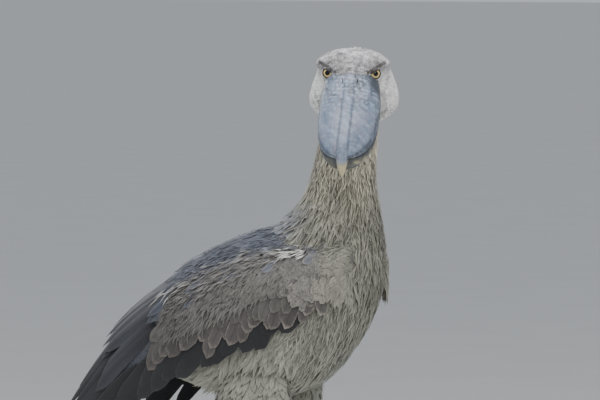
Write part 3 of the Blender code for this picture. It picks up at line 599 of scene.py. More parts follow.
def feathers(surface, u, v, flow, length, width, blade, tint, marks, low=-0.002, rise=0.004,
             lean=0.0, camber=0.10, bend=0.0, thick=0.0005, ragged=0.08, turn=0.08, power=1.2,
             curl=0.0):
    """Blades laid on a surface from their roots, as arrays for one joined mesh.

    flow is the way each points, low and rise its height at the root and how far its tip
    stands out. lean lifts one edge and curl draws the tip back in. bend and turn are how far
    they curve and twist to either side by chance, and marks are the pale fringe, dark middle
    and gloss.
    """
    u, v = np.asarray(u, float), np.asarray(v, float)
    count = len(u)
    if bend:
        bend = bend * rng.normal(size=count)

    def each(value):
        return np.broadcast_to(np.asarray(value, float), (count,))[:, None]

    by_u, by_v = surface.slopes(u, v)
    normals = unit(surface.read(surface.normals, u, v))
    flow = np.broadcast_to(flow, (count, 3))
    ahead = unit(flow - normals * np.sum(flow * normals, axis=-1, keepdims=True))
    aside = np.cross(normals, ahead)
    twist = each(turn) * rng.normal(size=(count, 1))
    c, s = np.cos(twist), np.sin(twist)
    ahead, aside = ahead * c + aside * s, aside * c - ahead * s
    a, b, d = (np.sum(x * y, axis=-1) for x, y in ((by_u, by_u), (by_u, by_v), (by_v, by_v)))
    size = a * d - b * b

    def shares(direction):
        p, q = np.sum(by_u * direction, axis=-1), np.sum(by_v * direction, axis=-1)
        return (d * p - b * q) / size, (a * q - b * p) / size

    ahead_u, ahead_v = shares(ahead)
    aside_u, aside_v = shares(aside)
    length, width = each(length), each(width)
    s, t = blade.s[None, :], blade.t[None, :]
    notch = 1 + each(ragged) * rng.normal(size=(count, blade.rings))[:, blade.ring]
    side = t * blade.wide[None, :] * notch * width / 2
    out = s * length * (1 - 0.05 * np.abs(t) * (s > 0.6))
    side = side + each(bend) * out * out / length
    height = (
        each(low)
        + each(rise) * s ** power
        - each(curl) * s ** 4
        + each(lean) * side
        - each(camber) * np.abs(t) ** 2 * blade.wide[None, :] * width / 2
        + blade.face[None, :] * each(thick) * (1 - t * t) * 0.5
    )
    where_u = u[:, None] + out * ahead_u[:, None] + side * aside_u[:, None]
    where_v = v[:, None] + out * ahead_v[:, None] + side * aside_v[:, None]
    points = surface.at(where_u, where_v, height)
    per = len(blade.s)
    faces = blade.faces[None] + (np.arange(count) * per)[:, None, None]
    draw = rng.uniform(0, 40, (count, 1))
    flat = [
        np.stack([np.broadcast_to(t * 0.5 + 0.5, out.shape), np.broadcast_to(s, out.shape)], -1),
        np.stack([side * 100, out * 100 + draw], -1),
        np.stack(
            [
                0.01 + 0.98 * (v % 1.0)[:, None] + 0.0015 * t,
                0.01 + 0.98 * np.clip(u, 0, 1)[:, None] + 0.003 * (s - 0.5),
            ],
            -1,
        ),
    ]
    flat[2] = np.broadcast_to(flat[2], (count, per, 2))
    tint = np.broadcast_to(np.asarray(tint)[..., None, :], (count, per, 3))
    marks = np.broadcast_to(np.asarray(marks, float).reshape(-1, 1, 3), (count, per, 3))
    return {
        "points": points.reshape(-1, 3),
        "faces": faces.reshape(-1, 3),
        "maps": [m.reshape(-1, 2) for m in flat],
        "tint": tint.reshape(-1, 3),
        "marks": marks.reshape(-1, 3),
    }


def coat_piece(name, batches, material, slot, *nodes):
    """One joined mesh of many feathers."""
    start = 0
    faces = []
    for batch in batches:
        faces.append(batch["faces"] + start)
        start += len(batch["points"])
    points = np.concatenate([b["points"] for b in batches])
    faces = np.concatenate(faces)
    mesh = bpy.data.meshes.new(name)
    mesh.vertices.add(len(points))
    mesh.vertices.foreach_set("co", points.astype(np.float32).ravel())
    mesh.loops.add(faces.size)
    mesh.loops.foreach_set("vertex_index", faces.astype(np.int32).ravel())
    mesh.polygons.add(len(faces))
    mesh.polygons.foreach_set("loop_start", (np.arange(len(faces)) * 3).astype(np.int32))
    mesh.update(calc_edges=True)
    mesh.validate()
    for k, key in enumerate(("Feather", "Barb", "OFBake")):
        map_points(mesh, key, np.concatenate([b["maps"][k] for b in batches]))
    paint(mesh, "Tint", np.concatenate([b["tint"] for b in batches]))
    paint(mesh, "Marks", np.concatenate([b["marks"] for b in batches]))
    mesh.shade_smooth()
    mesh.set_sharp_from_angle(angle=math.radians(50))
    made = object_from(mesh, name)
    return finish_piece(made, material, slot, *nodes)


class Web:
    """Builds a node tree, where an input is another node's output, a colour or a plain value."""

    def __init__(self, tree):
        self.tree = tree

    def feed(self, socket, value):
        if isinstance(value, bpy.types.NodeSocket):
            self.tree.links.new(value, socket)
        elif isinstance(value, np.ndarray):
            socket.default_value = (*value.tolist(), 1.0)
        else:
            socket.default_value = value

    def add(self, kind, inputs=None, **settings):
        made = self.tree.nodes.new(kind)
        for key, value in settings.items():
            setattr(made, key, value)
        for key, value in (inputs or {}).items():
            self.feed(made.inputs[key], value)
        return made

    def math(self, operation, *values):
        made = self.tree.nodes.new("ShaderNodeMath")
        made.operation = operation
        for socket, value in zip(made.inputs, values):
            self.feed(socket, value)
        return made.outputs[0]

    def times(self, a, b):
        return self.math("MULTIPLY", a, b)

    def times_plus(self, a, b, more):
        return self.math("MULTIPLY_ADD", a, b, more)

    def blend(self, share, a, b, kind="MIX"):
        made = self.add("ShaderNodeMix", {0: share, 6: a, 7: b}, data_type="RGBA", blend_type=kind)
        return made.outputs[2]

    def shaded(self, tint, shade):
        """A colour made lighter or darker by one number."""
        return self.blend(1.0, tint, self.vector(shade, shade, shade), "MULTIPLY")

    def ramp(self, value, low, high, to_low=0.0, to_high=1.0):
        inputs = {0: value, 1: low, 2: high, 3: to_low, 4: to_high}
        return self.add("ShaderNodeMapRange", inputs, interpolation_type="SMOOTHSTEP").outputs[0]

    def parts(self, vector):
        return self.add("ShaderNodeSeparateXYZ", {0: vector}).outputs

    def vector(self, x, y, z=0.0):
        return self.add("ShaderNodeCombineXYZ", {0: x, 1: y, 2: z}).outputs[0]

    def uv(self, name):
        return self.add("ShaderNodeUVMap", uv_map=name).outputs[0]

    def attribute(self, name):
        return self.add("ShaderNodeAttribute", attribute_name=name).outputs["Color"]

    def place(self):
        return self.add("ShaderNodeTexCoord").outputs["Object"]

    def noise(self, vector, scale, detail=3.0, rough=0.5):
        inputs = {"Vector": vector, "Scale": scale, "Detail": detail, "Roughness": rough}
        return self.add("ShaderNodeTexNoise", inputs).outputs[0]

    def cells(self, vector, scale):
        """The distance to the edge of each of many small cells."""
        inputs = {"Vector": vector, "Scale": scale}
        kind = "ShaderNodeTexVoronoi"
        return self.add(kind, inputs, feature="DISTANCE_TO_EDGE").outputs[0]


def group_tree(name, inputs, outputs):
    tree = bpy.data.node_groups.new(name, "ShaderNodeTree")
    for key, (kind, value) in inputs.items():
        socket = tree.interface.new_socket(key, in_out="INPUT", socket_type=f"NodeSocket{kind}")
        socket.default_value = value
    for key, kind in outputs.items():
        tree.interface.new_socket(key, in_out="OUTPUT", socket_type=f"NodeSocket{kind}")
    web = Web(tree)
    return tree, web, web.add("NodeGroupInput").outputs, web.add("NodeGroupOutput").inputs


VANE_MIDDLE = np.array((0.10, 0.09, 0.085))
SHAFT_DARK = np.array((0.035, 0.03, 0.028))


def vane_group():
    """The pattern of one feather: barbs, shaft, pale worn fringe, dark middle, and a root that is
    darker partly as its own base and partly as painted shade where the feathers overlap.
    """
    tree, web, given, result = group_tree(
        "feather vane",
        {
            "Fringe": ("Color", (0.5, 0.45, 0.4, 1.0)),
            "Barb contrast": ("Float", 0.35),
            "Barb scale": ("Float", 9.0),
        },
        {"Colour": "Color", "Height": "Float"},
    )
    x, along = web.parts(web.uv("Feather"))[:2]
    side = web.math("ABSOLUTE", web.times_plus(x, 2.0, -1.0))
    aside, out = web.parts(web.uv("Barb"))[:2]
    fringe_mark, dark_mark, _ = web.parts(web.attribute("Marks"))
    slant = web.times_plus(web.math("ABSOLUTE", aside), -1.1, out)
    grid = web.vector(web.times(slant, given["Barb scale"]), web.times(aside, 0.9))
    barbs = web.noise(grid, 1.0, 2.0)
    patches = web.noise(web.vector(aside, out, 0.0), 1.7, 3.0)
    wear = web.ramp(web.times_plus(barbs, 0.6, patches), 0.55, 0.95)
    edge = web.math("MAXIMUM", web.ramp(side, 0.74, 0.98, 0.0, 0.7), web.ramp(along, 0.86, 0.985))
    fringe = web.times(web.times(edge, fringe_mark), web.times_plus(wear, 0.65, 0.35))
    tint = web.attribute("Tint")
    dark = web.times(web.ramp(side, 0.75, 0.0), dark_mark)
    dark = web.times(dark, web.ramp(along, 0.15, 0.6, 0.5, 1.0))
    tint = web.blend(dark, tint, VANE_MIDDLE, "MULTIPLY")
    # Darker towards the root: partly the feather's own darker base, partly painted shade where the
    # feathers overlap.
    shade = web.ramp(along, 0.05, 0.62, 0.52, 1.0)
    grain = web.times_plus(web.math("SUBTRACT", barbs, 0.5), given["Barb contrast"], shade)
    grain = web.times_plus(web.math("SUBTRACT", patches, 0.5), 0.30, grain)
    tint = web.blend(fringe, web.shaded(tint, grain), given["Fringe"])
    shaft = web.ramp(side, 0.075, 0.03)
    web.feed(result["Colour"], web.blend(web.times(shaft, 0.35), tint, SHAFT_DARK))
    web.feed(result["Height"], web.times_plus(barbs, 0.6, web.times(shaft, 0.8)))
    return tree


def blotch_group():
    """Patches of a second and a third tint over a base, with fine grain."""
    tree, web, given, result = group_tree(
        "blotches",
        {
            "Place": ("Vector", (0.0, 0.0, 0.0)),
            "Base": ("Color", (0.5, 0.5, 0.5, 1.0)),
            "Second": ("Color", (0.4, 0.4, 0.4, 1.0)),
            "Third": ("Color", (0.2, 0.2, 0.2, 1.0)),
            "Scale": ("Float", 40.0),
        },
        {"Colour": "Color", "Grain": "Float"},
    )
    coarse = web.noise(given["Place"], given["Scale"], 3.0, 0.6)
    fine = web.noise(given["Place"], web.times(given["Scale"], 4.3), 4.0, 0.65)
    mixed = web.times_plus(fine, 0.45, web.times(coarse, 0.7))
    tint = web.blend(web.ramp(mixed, 0.48, 0.68), given["Base"], given["Second"])
    tint = web.blend(web.ramp(mixed, 0.50, 0.30, 0.0, 0.75), tint, given["Third"])
    web.feed(result["Colour"], tint)
    web.feed(result["Grain"], fine)
    return tree


VANE = vane_group()
BLOTCHES = blotch_group()


def new_finish(name, plain):
    """A material, its web of nodes and its shader's inputs, with the plain values set."""
    made = bpy.data.materials.new(name)
    made.use_nodes = True
    web = Web(made.node_tree)
    shader = made.node_tree.nodes["Principled BSDF"].inputs
    for key, value in plain.items():
        shader[key].default_value = value
    return made, web, shader


def bump(web, height, strength, distance):
    inputs = {"Strength": strength, "Distance": distance, "Height": height}
    return web.add("ShaderNodeBump", inputs).outputs[0]


def blotched(web, place, scale, base, second, third):
    """Blotches of three tints, given by their codes."""
    tints = {"Base": colour(base), "Second": colour(second), "Third": colour(third)}
    inputs = {"Place": place, "Scale": scale, **tints}
    return web.add("ShaderNodeGroup", inputs, node_tree=BLOTCHES).outputs


def feather_finish(name, fringe, contrast, roughness, specular, barb_scale=9.0):
    plain = {"Specular IOR Level": specular, "Sheen Weight": 0.08}
    made, web, shader = new_finish(name, plain)
    inputs = {"Fringe": colour(fringe), "Barb contrast": contrast, "Barb scale": barb_scale}
    vane = web.add("ShaderNodeGroup", inputs, node_tree=VANE).outputs
    web.feed(shader["Base Color"], vane["Colour"])
    gloss = web.parts(web.attribute("Marks"))[2]
    web.feed(shader["Roughness"], web.times_plus(gloss, -0.35, roughness))
    web.feed(shader["Normal"], bump(web, vane["Height"], 0.5, 0.0004))
    return made


def skin_finish():
    plain = {"Roughness": 0.9, "Specular IOR Level": 0.15}
    made, web, shader = new_finish("down between the feathers", plain)
    tint = web.attribute("Tint")
    grain = web.noise(web.place(), 420.0, 4.0, 0.6)
    # The down takes its place's plumage tint, darkened by fine grain to between half and nine
    # tenths: partly the down's own darker tone, partly painted shade between the feathers.
    web.feed(shader["Base Color"], web.shaded(tint, web.ramp(grain, 0.3, 0.75, 0.50, 0.88)))
    web.feed(shader["Normal"], bump(web, grain, 0.6, 0.0012))
    return made


def bill_finish(name, base, second, third, scale, roughness):
    """Horn with blotches, long scratches and tiny pits, with the dark, pale and yellow of its
    marks, which hold painted shade and a painted highlight.
    """
    made, web, shader = new_finish(name, {"Coat Weight": 0.12, "Coat Roughness": 0.3})
    blotches = blotched(web, web.place(), scale, base, second, third)
    wide, far = web.parts(web.uv("Bill"))[:2]
    streaks = web.noise(web.vector(web.times(wide, 34.0), web.times(far, 3.2)), 1.0, 4.0, 0.7)
    slant = web.times_plus(wide, 90.0, web.times(far, 30.0))
    scratch = web.noise(web.vector(slant, web.times(far, 5.0)), 1.0, 2.0)
    tint = blotches["Colour"]
    for pattern, start, full, strength, code in (
        (streaks, 0.56, 0.70, 0.45, "98a3b3"),
        (streaks, 0.42, 0.28, 0.55, "4c5563"),
        (scratch, 0.66, 0.72, 0.60, "bcc6d2"),
        (scratch, 0.34, 0.28, 0.50, "3f4a5c"),
    ):
        tint = web.blend(web.ramp(pattern, start, full, 0.0, strength), tint, colour(code))
    # The marks' dark and pale shares include painted shade in the grooves and under the upper half,
    # and a painted highlight along the sides.
    dark, pale, yellow = web.parts(web.attribute("Marks"))
    for share, code in ((dark, "3a4048"), (pale, "a2afc0"), (yellow, "c0b48c")):
        tint = web.blend(share, tint, colour(code))
    web.feed(shader["Base Color"], tint)
    grain = blotches["Grain"]
    rough = web.ramp(grain, 0.3, 0.7, roughness - 0.06, roughness + 0.12)
    web.feed(shader["Roughness"], rough)
    height = web.times_plus(streaks, 0.7, web.times(scratch, 0.35))
    web.feed(shader["Normal"], bump(web, web.times_plus(grain, 0.25, height), 0.55, 0.0012))
    return made


def lid_finish():
    """Bare creased skin, dark at the rim of the eye and, as painted shadow, under the brow."""
    made, web, shader = new_finish("lid skin", {"Roughness": 0.5})
    place = web.place()
    grain = web.noise(place, 900.0, 3.0)
    crease = web.ramp(web.cells(place, 700.0), 0.0, 0.2)
    shade = web.ramp(grain, 0.3, 0.7, 0.72, 1.1)
    web.feed(shader["Base Color"], web.shaded(web.attribute("Tint"), shade))
    web.feed(shader["Normal"], bump(web, crease, 0.5, 0.0003))
    return made


def eye_finish():
    """Iris, pupil and pale white from the distance to the middle of the gaze."""
    plain = {"Roughness": 0.06, "Specular IOR Level": 0.3, "Coat Weight": 0.25,
             "Coat Roughness": 0.03}
    made, web, shader = new_finish("wet eye", plain)
    x, y = web.parts(web.uv("Eye"))[:2]
    far = web.math("SQRT", web.math("ADD", web.times(x, x), web.times(y, y)))
    turned = web.vector(web.math("ARCTAN2", y, x), web.times(far, 0.35))
    ray = web.noise(turned, 9.0, 4.0, 0.7)
    iris = web.blend(web.ramp(ray, 0.35, 0.7), colour("cfb062"), colour("efe2b4"))
    iris = web.blend(web.ramp(far, 0.60, 0.50, 0.0, 0.35), iris, colour("8a6a35"))
    iris = web.blend(web.ramp(far, 0.90, 1.02, 0.0, 0.9), iris, colour("5a4423"))
    ball = web.blend(web.ramp(far, 0.42, 0.45), colour("07080a"), iris)
    ball = web.blend(web.ramp(far, 1.0, 1.06), ball, colour("201a16"))
    web.feed(shader["Base Color"], ball)
    return made


def bare_skin_finish(name, base, second, third, scale, roughness, wrinkle):
    """Dry scaled skin or claw horn, blotched, with dark seams between its cells."""
    made, web, shader = new_finish(name, {})
    place = web.place()
    blotches = blotched(web, place, scale, base, second, third)
    seams = web.ramp(web.cells(place, scale * 6.0), 0.0, 0.16)
    gaps = web.ramp(seams, 1.0, 0.0, 0.0, 0.55)
    web.feed(shader["Base Color"], web.blend(gaps, blotches["Colour"], colour("17171a")))
    grain = blotches["Grain"]
    web.feed(shader["Roughness"], web.ramp(grain, 0.3, 0.7, roughness, roughness + 0.2))
    web.feed(shader["Normal"], bump(web, web.times_plus(grain, 0.4, seams), 0.7, wrinkle))
    return made


FLOOR_TINTS = (np.array((0.66, 0.66, 0.65)), np.array((0.72, 0.72, 0.71)))


def floor_finish():
    made, web, shader = new_finish("pale floor", {"Roughness": 0.8})
    grain = web.noise(web.place(), 3.0, 4.0)
    web.feed(shader["Base Color"], web.blend(grain, *FLOOR_TINTS))
    return made


TRUNK = trunk_surface()
HEAD = head_surface()
WINGS = {name: wing_surface(side) for name, side in SIDES.items()}
THIGHS = {name: thigh_surface(side, name) for name, side in SIDES.items()}

NECK_PALE = colour("e8e0c8")
BREAST = colour("949284")
BREAST_DARK = colour("5a5853")
BELLY = colour("97978b")
MANTLE = colour("7c7f89")
SLATE = colour("5b5f69")
COVERT = colour("76736f")
CROWN = colour("c9c7c9")
CHEEK = colour("eeeeea")
WHITE = colour("f6f6f2")
EYE_DARK = colour("33302f")
# Painted shadow under each brow
BROW_SHADOW = colour("4b4441")
SPOT_DARK = colour("57514f")
CROWN_PATCH = colour("8a8482")
CROWN_SOFT = colour("8f8c8a")
NECK_BACK = colour("76736d")
COVERT_REAR = colour("5f5c5a")
SILVER = colour("d6d4ce")
# The dark rim of the lids, which also stands for painted shadow under the brow
LID_RIM_AND_BROW_SHADOW = colour("2a2522")

# In the head's own frame, on the left: the middle of the white patch behind an eye and of the
# dark lore before it. Then the dark spots of the crown, with their sizes.
WHITE_PATCH = (0.010, 0.057, -0.014)
LORE = (0.021, 0.041, -0.016)
CROWN_SPOTS = [((-0.012, -0.022, 0.030), 0.0085), ((-0.040, 0.020, 0.024), 0.0110)]


def eye_middle(name):
    return head_points(mirrored(EYE_PLACE, SIDES[name]))


def eye_direction(name):
    return head_direction(mirrored(EYE_LOOKS, SIDES[name]))


def in_head(points):
    """Points in the head's own frame, with the bill's lean left in."""
    return (points - HEAD_PLACE - SHIFT) @ HEAD_TURN


def round_from_breast(v):
    """How far round the trunk a share v lies, from 0 at the breast to 1 at the back."""
    return np.abs((v + 0.5) % 1.0 - 0.5) * 2


# The painted shadow under the brow over each eye: its height over the eye's middle, across the
# gaze, and its inner and outer end along the brow
BROW_SHADOW_HEIGHT = 0.0090
BROW_SHADOW_ENDS = (-0.0135, 0.0250)


def brow_frame(name):
    """The gaze of one eye, the way out along its brow, and the way up across it."""
    sight = gaze(name)
    across, up = level_frame(sight)
    over = math.cos(BROW_SLOPE) * up + math.sin(BROW_SLOPE) * SIDES[name] * across
    return sight, np.cross(over, sight) * SIDES[name], over


def head_tint(points):
    """Pale crown and cheeks, a white patch behind each eye, dark lores and spots, and a painted
    shadow under each brow.
    """
    local = in_head(points)
    z = local[:, 2]
    soft = mottle(points, 0.030, 3)
    fine = mottle(points, 0.011, 4)
    tint = toward(CROWN, CHEEK, ease(-z, -0.005, 0.03))
    top = ease(z, -0.006, 0.010)
    tint = tint * (1 + 0.10 * soft + (0.12 + 0.26 * top) * fine)[:, None]
    patch = ease(mottle(points, 0.016, 14) + 0.5 * soft, 0.15, 0.95)
    tint = toward(tint, CROWN_PATCH, 0.75 * top * patch)
    tint = toward(tint, CROWN_SOFT, 0.60 * ease(soft + fine, 0.45, 1.2))
    for name, side in SIDES.items():
        away = np.linalg.norm((local - mirrored(WHITE_PATCH, side)) * (0.85, 1.0, 0.80), axis=1)
        tint = toward(tint, WHITE, 0.95 * ease(-away, -0.021, -0.010))
        lore = np.linalg.norm((local - mirrored(LORE, side)) * (0.9, 1.0, 1.0), axis=1)
        tint = toward(tint, EYE_DARK, 0.85 * ease(-lore, -0.014, -0.007))
        # Painted shadow under the brow: a dark line over each eye.
        sight, edge, over = brow_frame(name)
        from_eye = points - eye_middle(name)
        run, level = from_eye @ edge, from_eye @ over
        beyond = run - np.clip(run, *BROW_SHADOW_ENDS)
        brow = np.hypot(level - BROW_SHADOW_HEIGHT, beyond) + np.maximum(-0.012 - from_eye @ sight, 0)
        tint = toward(tint, BROW_SHADOW, 0.80 * ease(-brow, -0.0046, -0.0016))
    for spot, size in CROWN_SPOTS:
        away = np.linalg.norm((local - spot) * (1.0, 1.0, 0.4), axis=1)
        tint = toward(tint, SPOT_DARK, 0.75 * ease(-away, -size, -size * 0.3))
    return tint


def trunk_tint(points, u, v):
    """Pale neck, streaked breast, slate mantle and lighter belly."""
    around = round_from_breast(v)
    back = ease(around, 0.52, 0.72)
    soft = mottle(points, 0.060, 5)
    fine = strands(u, v, 14, 60, 6)
    broad = strands(u, v, 7, 22, 16)
    tint = toward(NECK_PALE, BREAST, ease(u, 0.10, 0.34))
    tint = toward(tint, BELLY, ease(u, 0.42, 0.58))
    tint = toward(tint, NECK_BACK, 0.55 * back * ease(-u, -0.33, -0.15))
    tint = toward(tint, MANTLE, back * ease(u, 0.26, 0.36))
    tint = toward(tint, MANTLE * 0.5, ease(u, 0.78, 0.88) * ease(around, 0.30, 0.45))
    streak = (1 - back) * ease(-u, -0.62, -0.45) * (0.30 + 0.70 * ease(u, 0.07, 0.24))
    side = ease(around, 0.30, 0.45) * (1 - ease(around, 0.62, 0.75)) * ease(-u, -0.50, -0.36)
    dark = 0.55 * streak + 0.75 * side * ease(u, 0.16, 0.28)
    dark = dark * ease(0.6 * fine + broad, 0.3, 1.1)
    tint = toward(tint, BREAST_DARK, np.clip(dark, 0, 0.8))
    clump = mottle(points, 0.034, 15)
    # The top of the neck is made lighter: painted light where the bill's shadow falls on it.
    shade = 1.05 + 0.08 * ease(-u, -0.24, -0.08)
    shade = shade + 0.12 * soft + 0.12 * fine + 0.12 * broad + 0.10 * clump
    return tint * shade[:, None]


def wing_tint(points, along, down):
    """Grey-brown coverts, darker towards the tip, under slate shoulders."""
    soft = mottle(points, 0.070, 7)
    tint = toward(COVERT, COVERT_REAR, ease(along, 0.22, 0.42))
    tint = toward(tint, SLATE, ease(-down, 0.075, 0.11))
    front = ease(-along - 0.016 * soft, -0.050, 0.002)
    tint = toward(tint, BREAST * 1.05, 0.85 * front)
    return tint * (1 + 0.09 * soft)[:, None]


def inset_ring(surface, rings, sides, depth):
    u, v = np.meshgrid(np.linspace(0, 1, rings), np.arange(sides) / sides, indexing="ij")
    return surface.at(u, v, -depth)


def wing_share(along, down):
    """Shares u and v of a place along the wing and down it."""
    u = (along - WING_SPAN[0]) / (WING_SPAN[1] - WING_SPAN[0])
    return u, (down - WING_TOP) / (WING_LOW - WING_TOP)


WING_PAD_LOW = [(0.0, 0.012), (0.05, 0.040), (0.18, 0.074), (0.34, 0.072), (0.50, 0.030)]
WING_PAD_SPAN = (0.012, 0.50)
WING_PAD_OVER = -0.0065
WING_PAD_UNDER = -0.0075


def wing_pad(surface):
    """The closed body of one wing under its feathers."""
    rings = []
    share = np.linspace(-1, 1, 30)
    edge = np.sqrt(np.clip(1 - share**8, 0, 1))
    for along in np.linspace(*WING_PAD_SPAN, 44):
        fade = math.sin(math.pi / 2 * min(1.0, along / 0.11))
        rear = ease(WING_PAD_SPAN[1] - along, 0.0, 0.30)
        top = -0.195 + 0.09 * (1 - fade)
        low = float(np.interp(along, *np.transpose(WING_PAD_LOW)))
        u, v = wing_share(np.full(30, along), np.linspace(top, low, 30))
        thick = (0.004 + 0.010 * fade * rear) * edge
        over = surface.at(u, v, WING_PAD_OVER + 0 * thick)
        rings.append(np.concatenate([over, surface.at(u, v, WING_PAD_UNDER - thick)[::-1]]))
    return lofted("wing pad", rings)


def eye_cone(name):
    """The hollow that opens forwards from one eye."""
    side = SIDES[name]
    axis = mirrored(EYE_LOOKS, side)
    axis = axis / np.linalg.norm(axis)
    across, up = level_frame(axis)
    turns = full_turn(40)
    ring = np.cos(turns)[:, None] * across + np.sin(turns)[:, None] * up
    centre = mirrored(EYE_PLACE, side)
    rings = [head_points(centre + axis * reach + radius * ring) for reach, radius in EYE_HOLLOW]
    return lofted("eye hollow", rings)


TAIL_ROOT = np.array((-0.318, 0.0, 0.622))
TAIL_SLOPE = math.radians(50)
TAIL_LENGTH = 0.200
TAIL_ALONG = np.array([-math.cos(TAIL_SLOPE), 0.0, -math.sin(TAIL_SLOPE)])
TAIL_ABOVE = np.array([-math.sin(TAIL_SLOPE), 0.0, math.cos(TAIL_SLOPE)])
# Where the tail's root starts and ends, as shares of its length, how far it narrows and thins
# on its way, and its half width and half thickness
TAIL_CORE = (-0.20, 0.40)
TAIL_CORE_FADE = 0.42
TAIL_CORE_WIDTH = 0.030
TAIL_CORE_THICKNESS = 0.0095
COAT_DEPTH = 0.0035
FACE_DEPTH = 0.0022
SKIN_VOXEL = 0.0036


def tail_base():
    turns = full_turn(32)
    rings = []
    for share in np.linspace(*TAIL_CORE, 14):
        narrow = 1 - 0.45 * max(share, 0.0) / TAIL_CORE_FADE
        thick = TAIL_CORE_THICKNESS * (1 - 0.72 * max(share, 0.0) / TAIL_CORE_FADE)
        centre = TAIL_ROOT + SHIFT + TAIL_ALONG * TAIL_LENGTH * share
        ring = np.cos(turns)[:, None] * np.array([0, TAIL_CORE_WIDTH * narrow, 0])
        rings.append(centre + ring + np.sin(turns)[:, None] * thick * TAIL_ABOVE)
    return lofted("tail base", rings)


def trunk_places(points, batch=4000):
    """Shares u and v of the trunk's place nearest to each point."""
    places = TRUNK.points[::4, ::6]
    u = np.repeat(np.linspace(0, 1, places.shape[0]), places.shape[1])
    v = np.tile(np.arange(places.shape[1]) / places.shape[1], places.shape[0])
    flat = places.reshape(-1, 3)[::3]
    nearest = [
        np.argmin(np.linalg.norm(points[start : start + batch, None] - flat[None], axis=-1), axis=1)
        for start in range(0, len(points), batch)
    ]
    nearest = np.concatenate(nearest) * 3
    return u[nearest], v[nearest]


def make_skin():
    """One closed surface under the whole coat, from the face to the trousers and the tail."""
    head = object_from(lofted("head skin", inset_ring(HEAD, 100, 96, FACE_DEPTH)), "head skin")
    cut(head, [eye_cone(name) for name in SIDES])
    meshes = [head.data, lofted("trunk skin", inset_ring(TRUNK, 120, 110, COAT_DEPTH)), tail_base()]
    for name in SIDES:
        meshes.append(lofted("thigh skin", inset_ring(THIGHS[name], 40, 48, COAT_DEPTH)))
        meshes.append(wing_pad(WINGS[name]))
    made = melted("skin", meshes, SKIN_VOXEL, 3)
    bpy.data.objects.remove(head)
    points = points_of(made.data)
    x, y, z = in_head(points).T
    near_head = (np.abs(y) < 0.09) & (x > -0.11) & (z > -0.12)
    tint = trunk_tint(points, *trunk_places(points))
    tint[near_head] = head_tint(points[near_head])
    paint(made.data, "Tint", tint)
    thighs = [f"thigh_{name}" for name in SIDES]
    return finish_piece(made, skin_finish(), "plumage_grey", "head", "neck", "torso", *thighs)


def varied(tint, amount):
    """Each feather's own tint, a little lighter or darker than its place's."""
    return tint * (1 + amount * rng.normal(size=(len(tint), 1)))


def mark_rows(count, fringe, dark, gloss):
    draw = rng.uniform(0.4, 1.0, (count, 2))
    return np.column_stack([fringe * draw[:, 0], dark * draw[:, 1], np.full(count, gloss)])


# How far from the middle of an eye the feathers start, and where they have their full size
EYE_CLEAR = 0.0122
EYE_FAR = 0.028
# The head's feathers, back and front: where each band starts and ends, the gap between its
# rows and the feathers' length
HEAD_BANDS = [(0.02, 0.55, 0.0046, 0.0110), (0.50, 0.985, 0.0034, 0.0078)]


def scattered(surface, u, v, flow, tint, tint_spread, size, spread, width, blade, marks, **ways):
    """Feathers that differ by chance in tint and in length."""
    tint = varied(tint, tint_spread)
    length = size * rng.uniform(*spread, len(u))
    marks = mark_rows(len(u), *marks)
    return feathers(surface, u, v, flow, length, width, blade, tint, marks, **ways)


def head_band(start, stop, gap, length):
    """Small feathers over one band of the head, which part round the eyes."""
    u, v = HEAD.rows(start, stop, gap, gap * 0.82)
    roots = HEAD.at(u, v)
    local = in_head(roots)
    x, y, z = local.T
    keep = x < 0.0285 - 0.0080 * ease(np.abs(y), 0.018, 0.038)
    keep &= ~((x < -0.035) & (z < -0.085))
    low = ease(-z, 0.01, 0.07)
    nape = ease(-x, 0.040, 0.080)
    drop = -0.15 - 0.75 * low - 0.9 * nape
    flow = np.stack([-1 + 0.25 * low + 0.6 * nape, np.zeros(len(u)), drop], axis=-1)
    jowl = ease(-z, 0.058, 0.085) * ease(x, -0.045, -0.020)
    size = length * (0.72 + 0.45 * ease(-x, -0.02, 0.05) + 0.35 * low + 0.70 * jowl)
    for name, side in SIDES.items():
        eye = eye_middle(name)
        axis = eye_direction(name)
        ahead = (roots - eye) @ axis
        radial = np.linalg.norm((roots - eye) - ahead[:, None] * axis, axis=1)
        near = (np.abs(ahead) < 0.035) & (y * side > 0)
        keep &= ~(near & (radial < EYE_CLEAR))
        size = size * np.where(near, 0.42 + 0.58 * ease(radial, EYE_CLEAR, EYE_FAR), 1.0)
        push = unit((local - mirrored(EYE_PLACE, side)) * (0.0, 1.0, 1.0))
        share = (near * (1 - ease(radial, EYE_CLEAR, 0.024)))[:, None]
        flow = flow * (1 - share) + push * share
    u, v, roots, size, flow, low = only(keep, u, v, roots, size, flow, low)
    flow = unit(flow) @ HEAD_TURN.T
    tint = varied(head_tint(roots + flow * 0.004), 0.085)
    behind = -in_head(roots)[:, 0]
    ruffle = low * ease(behind, -0.005, 0.03) * (1 - ease(behind, 0.035, 0.060))
    marks = mark_rows(len(u), 0.45, 0.20, 0.0)
    return feathers(HEAD, u, v, flow, size, size * 0.62, BODY_BLADE, tint, marks, low=-0.0022,
                    rise=0.0026 + 0.0022 * ruffle, curl=0.0006, bend=0.12, turn=0.16,
                    thick=0.0003, ragged=0.14)


CREST_FEATHERS = 34


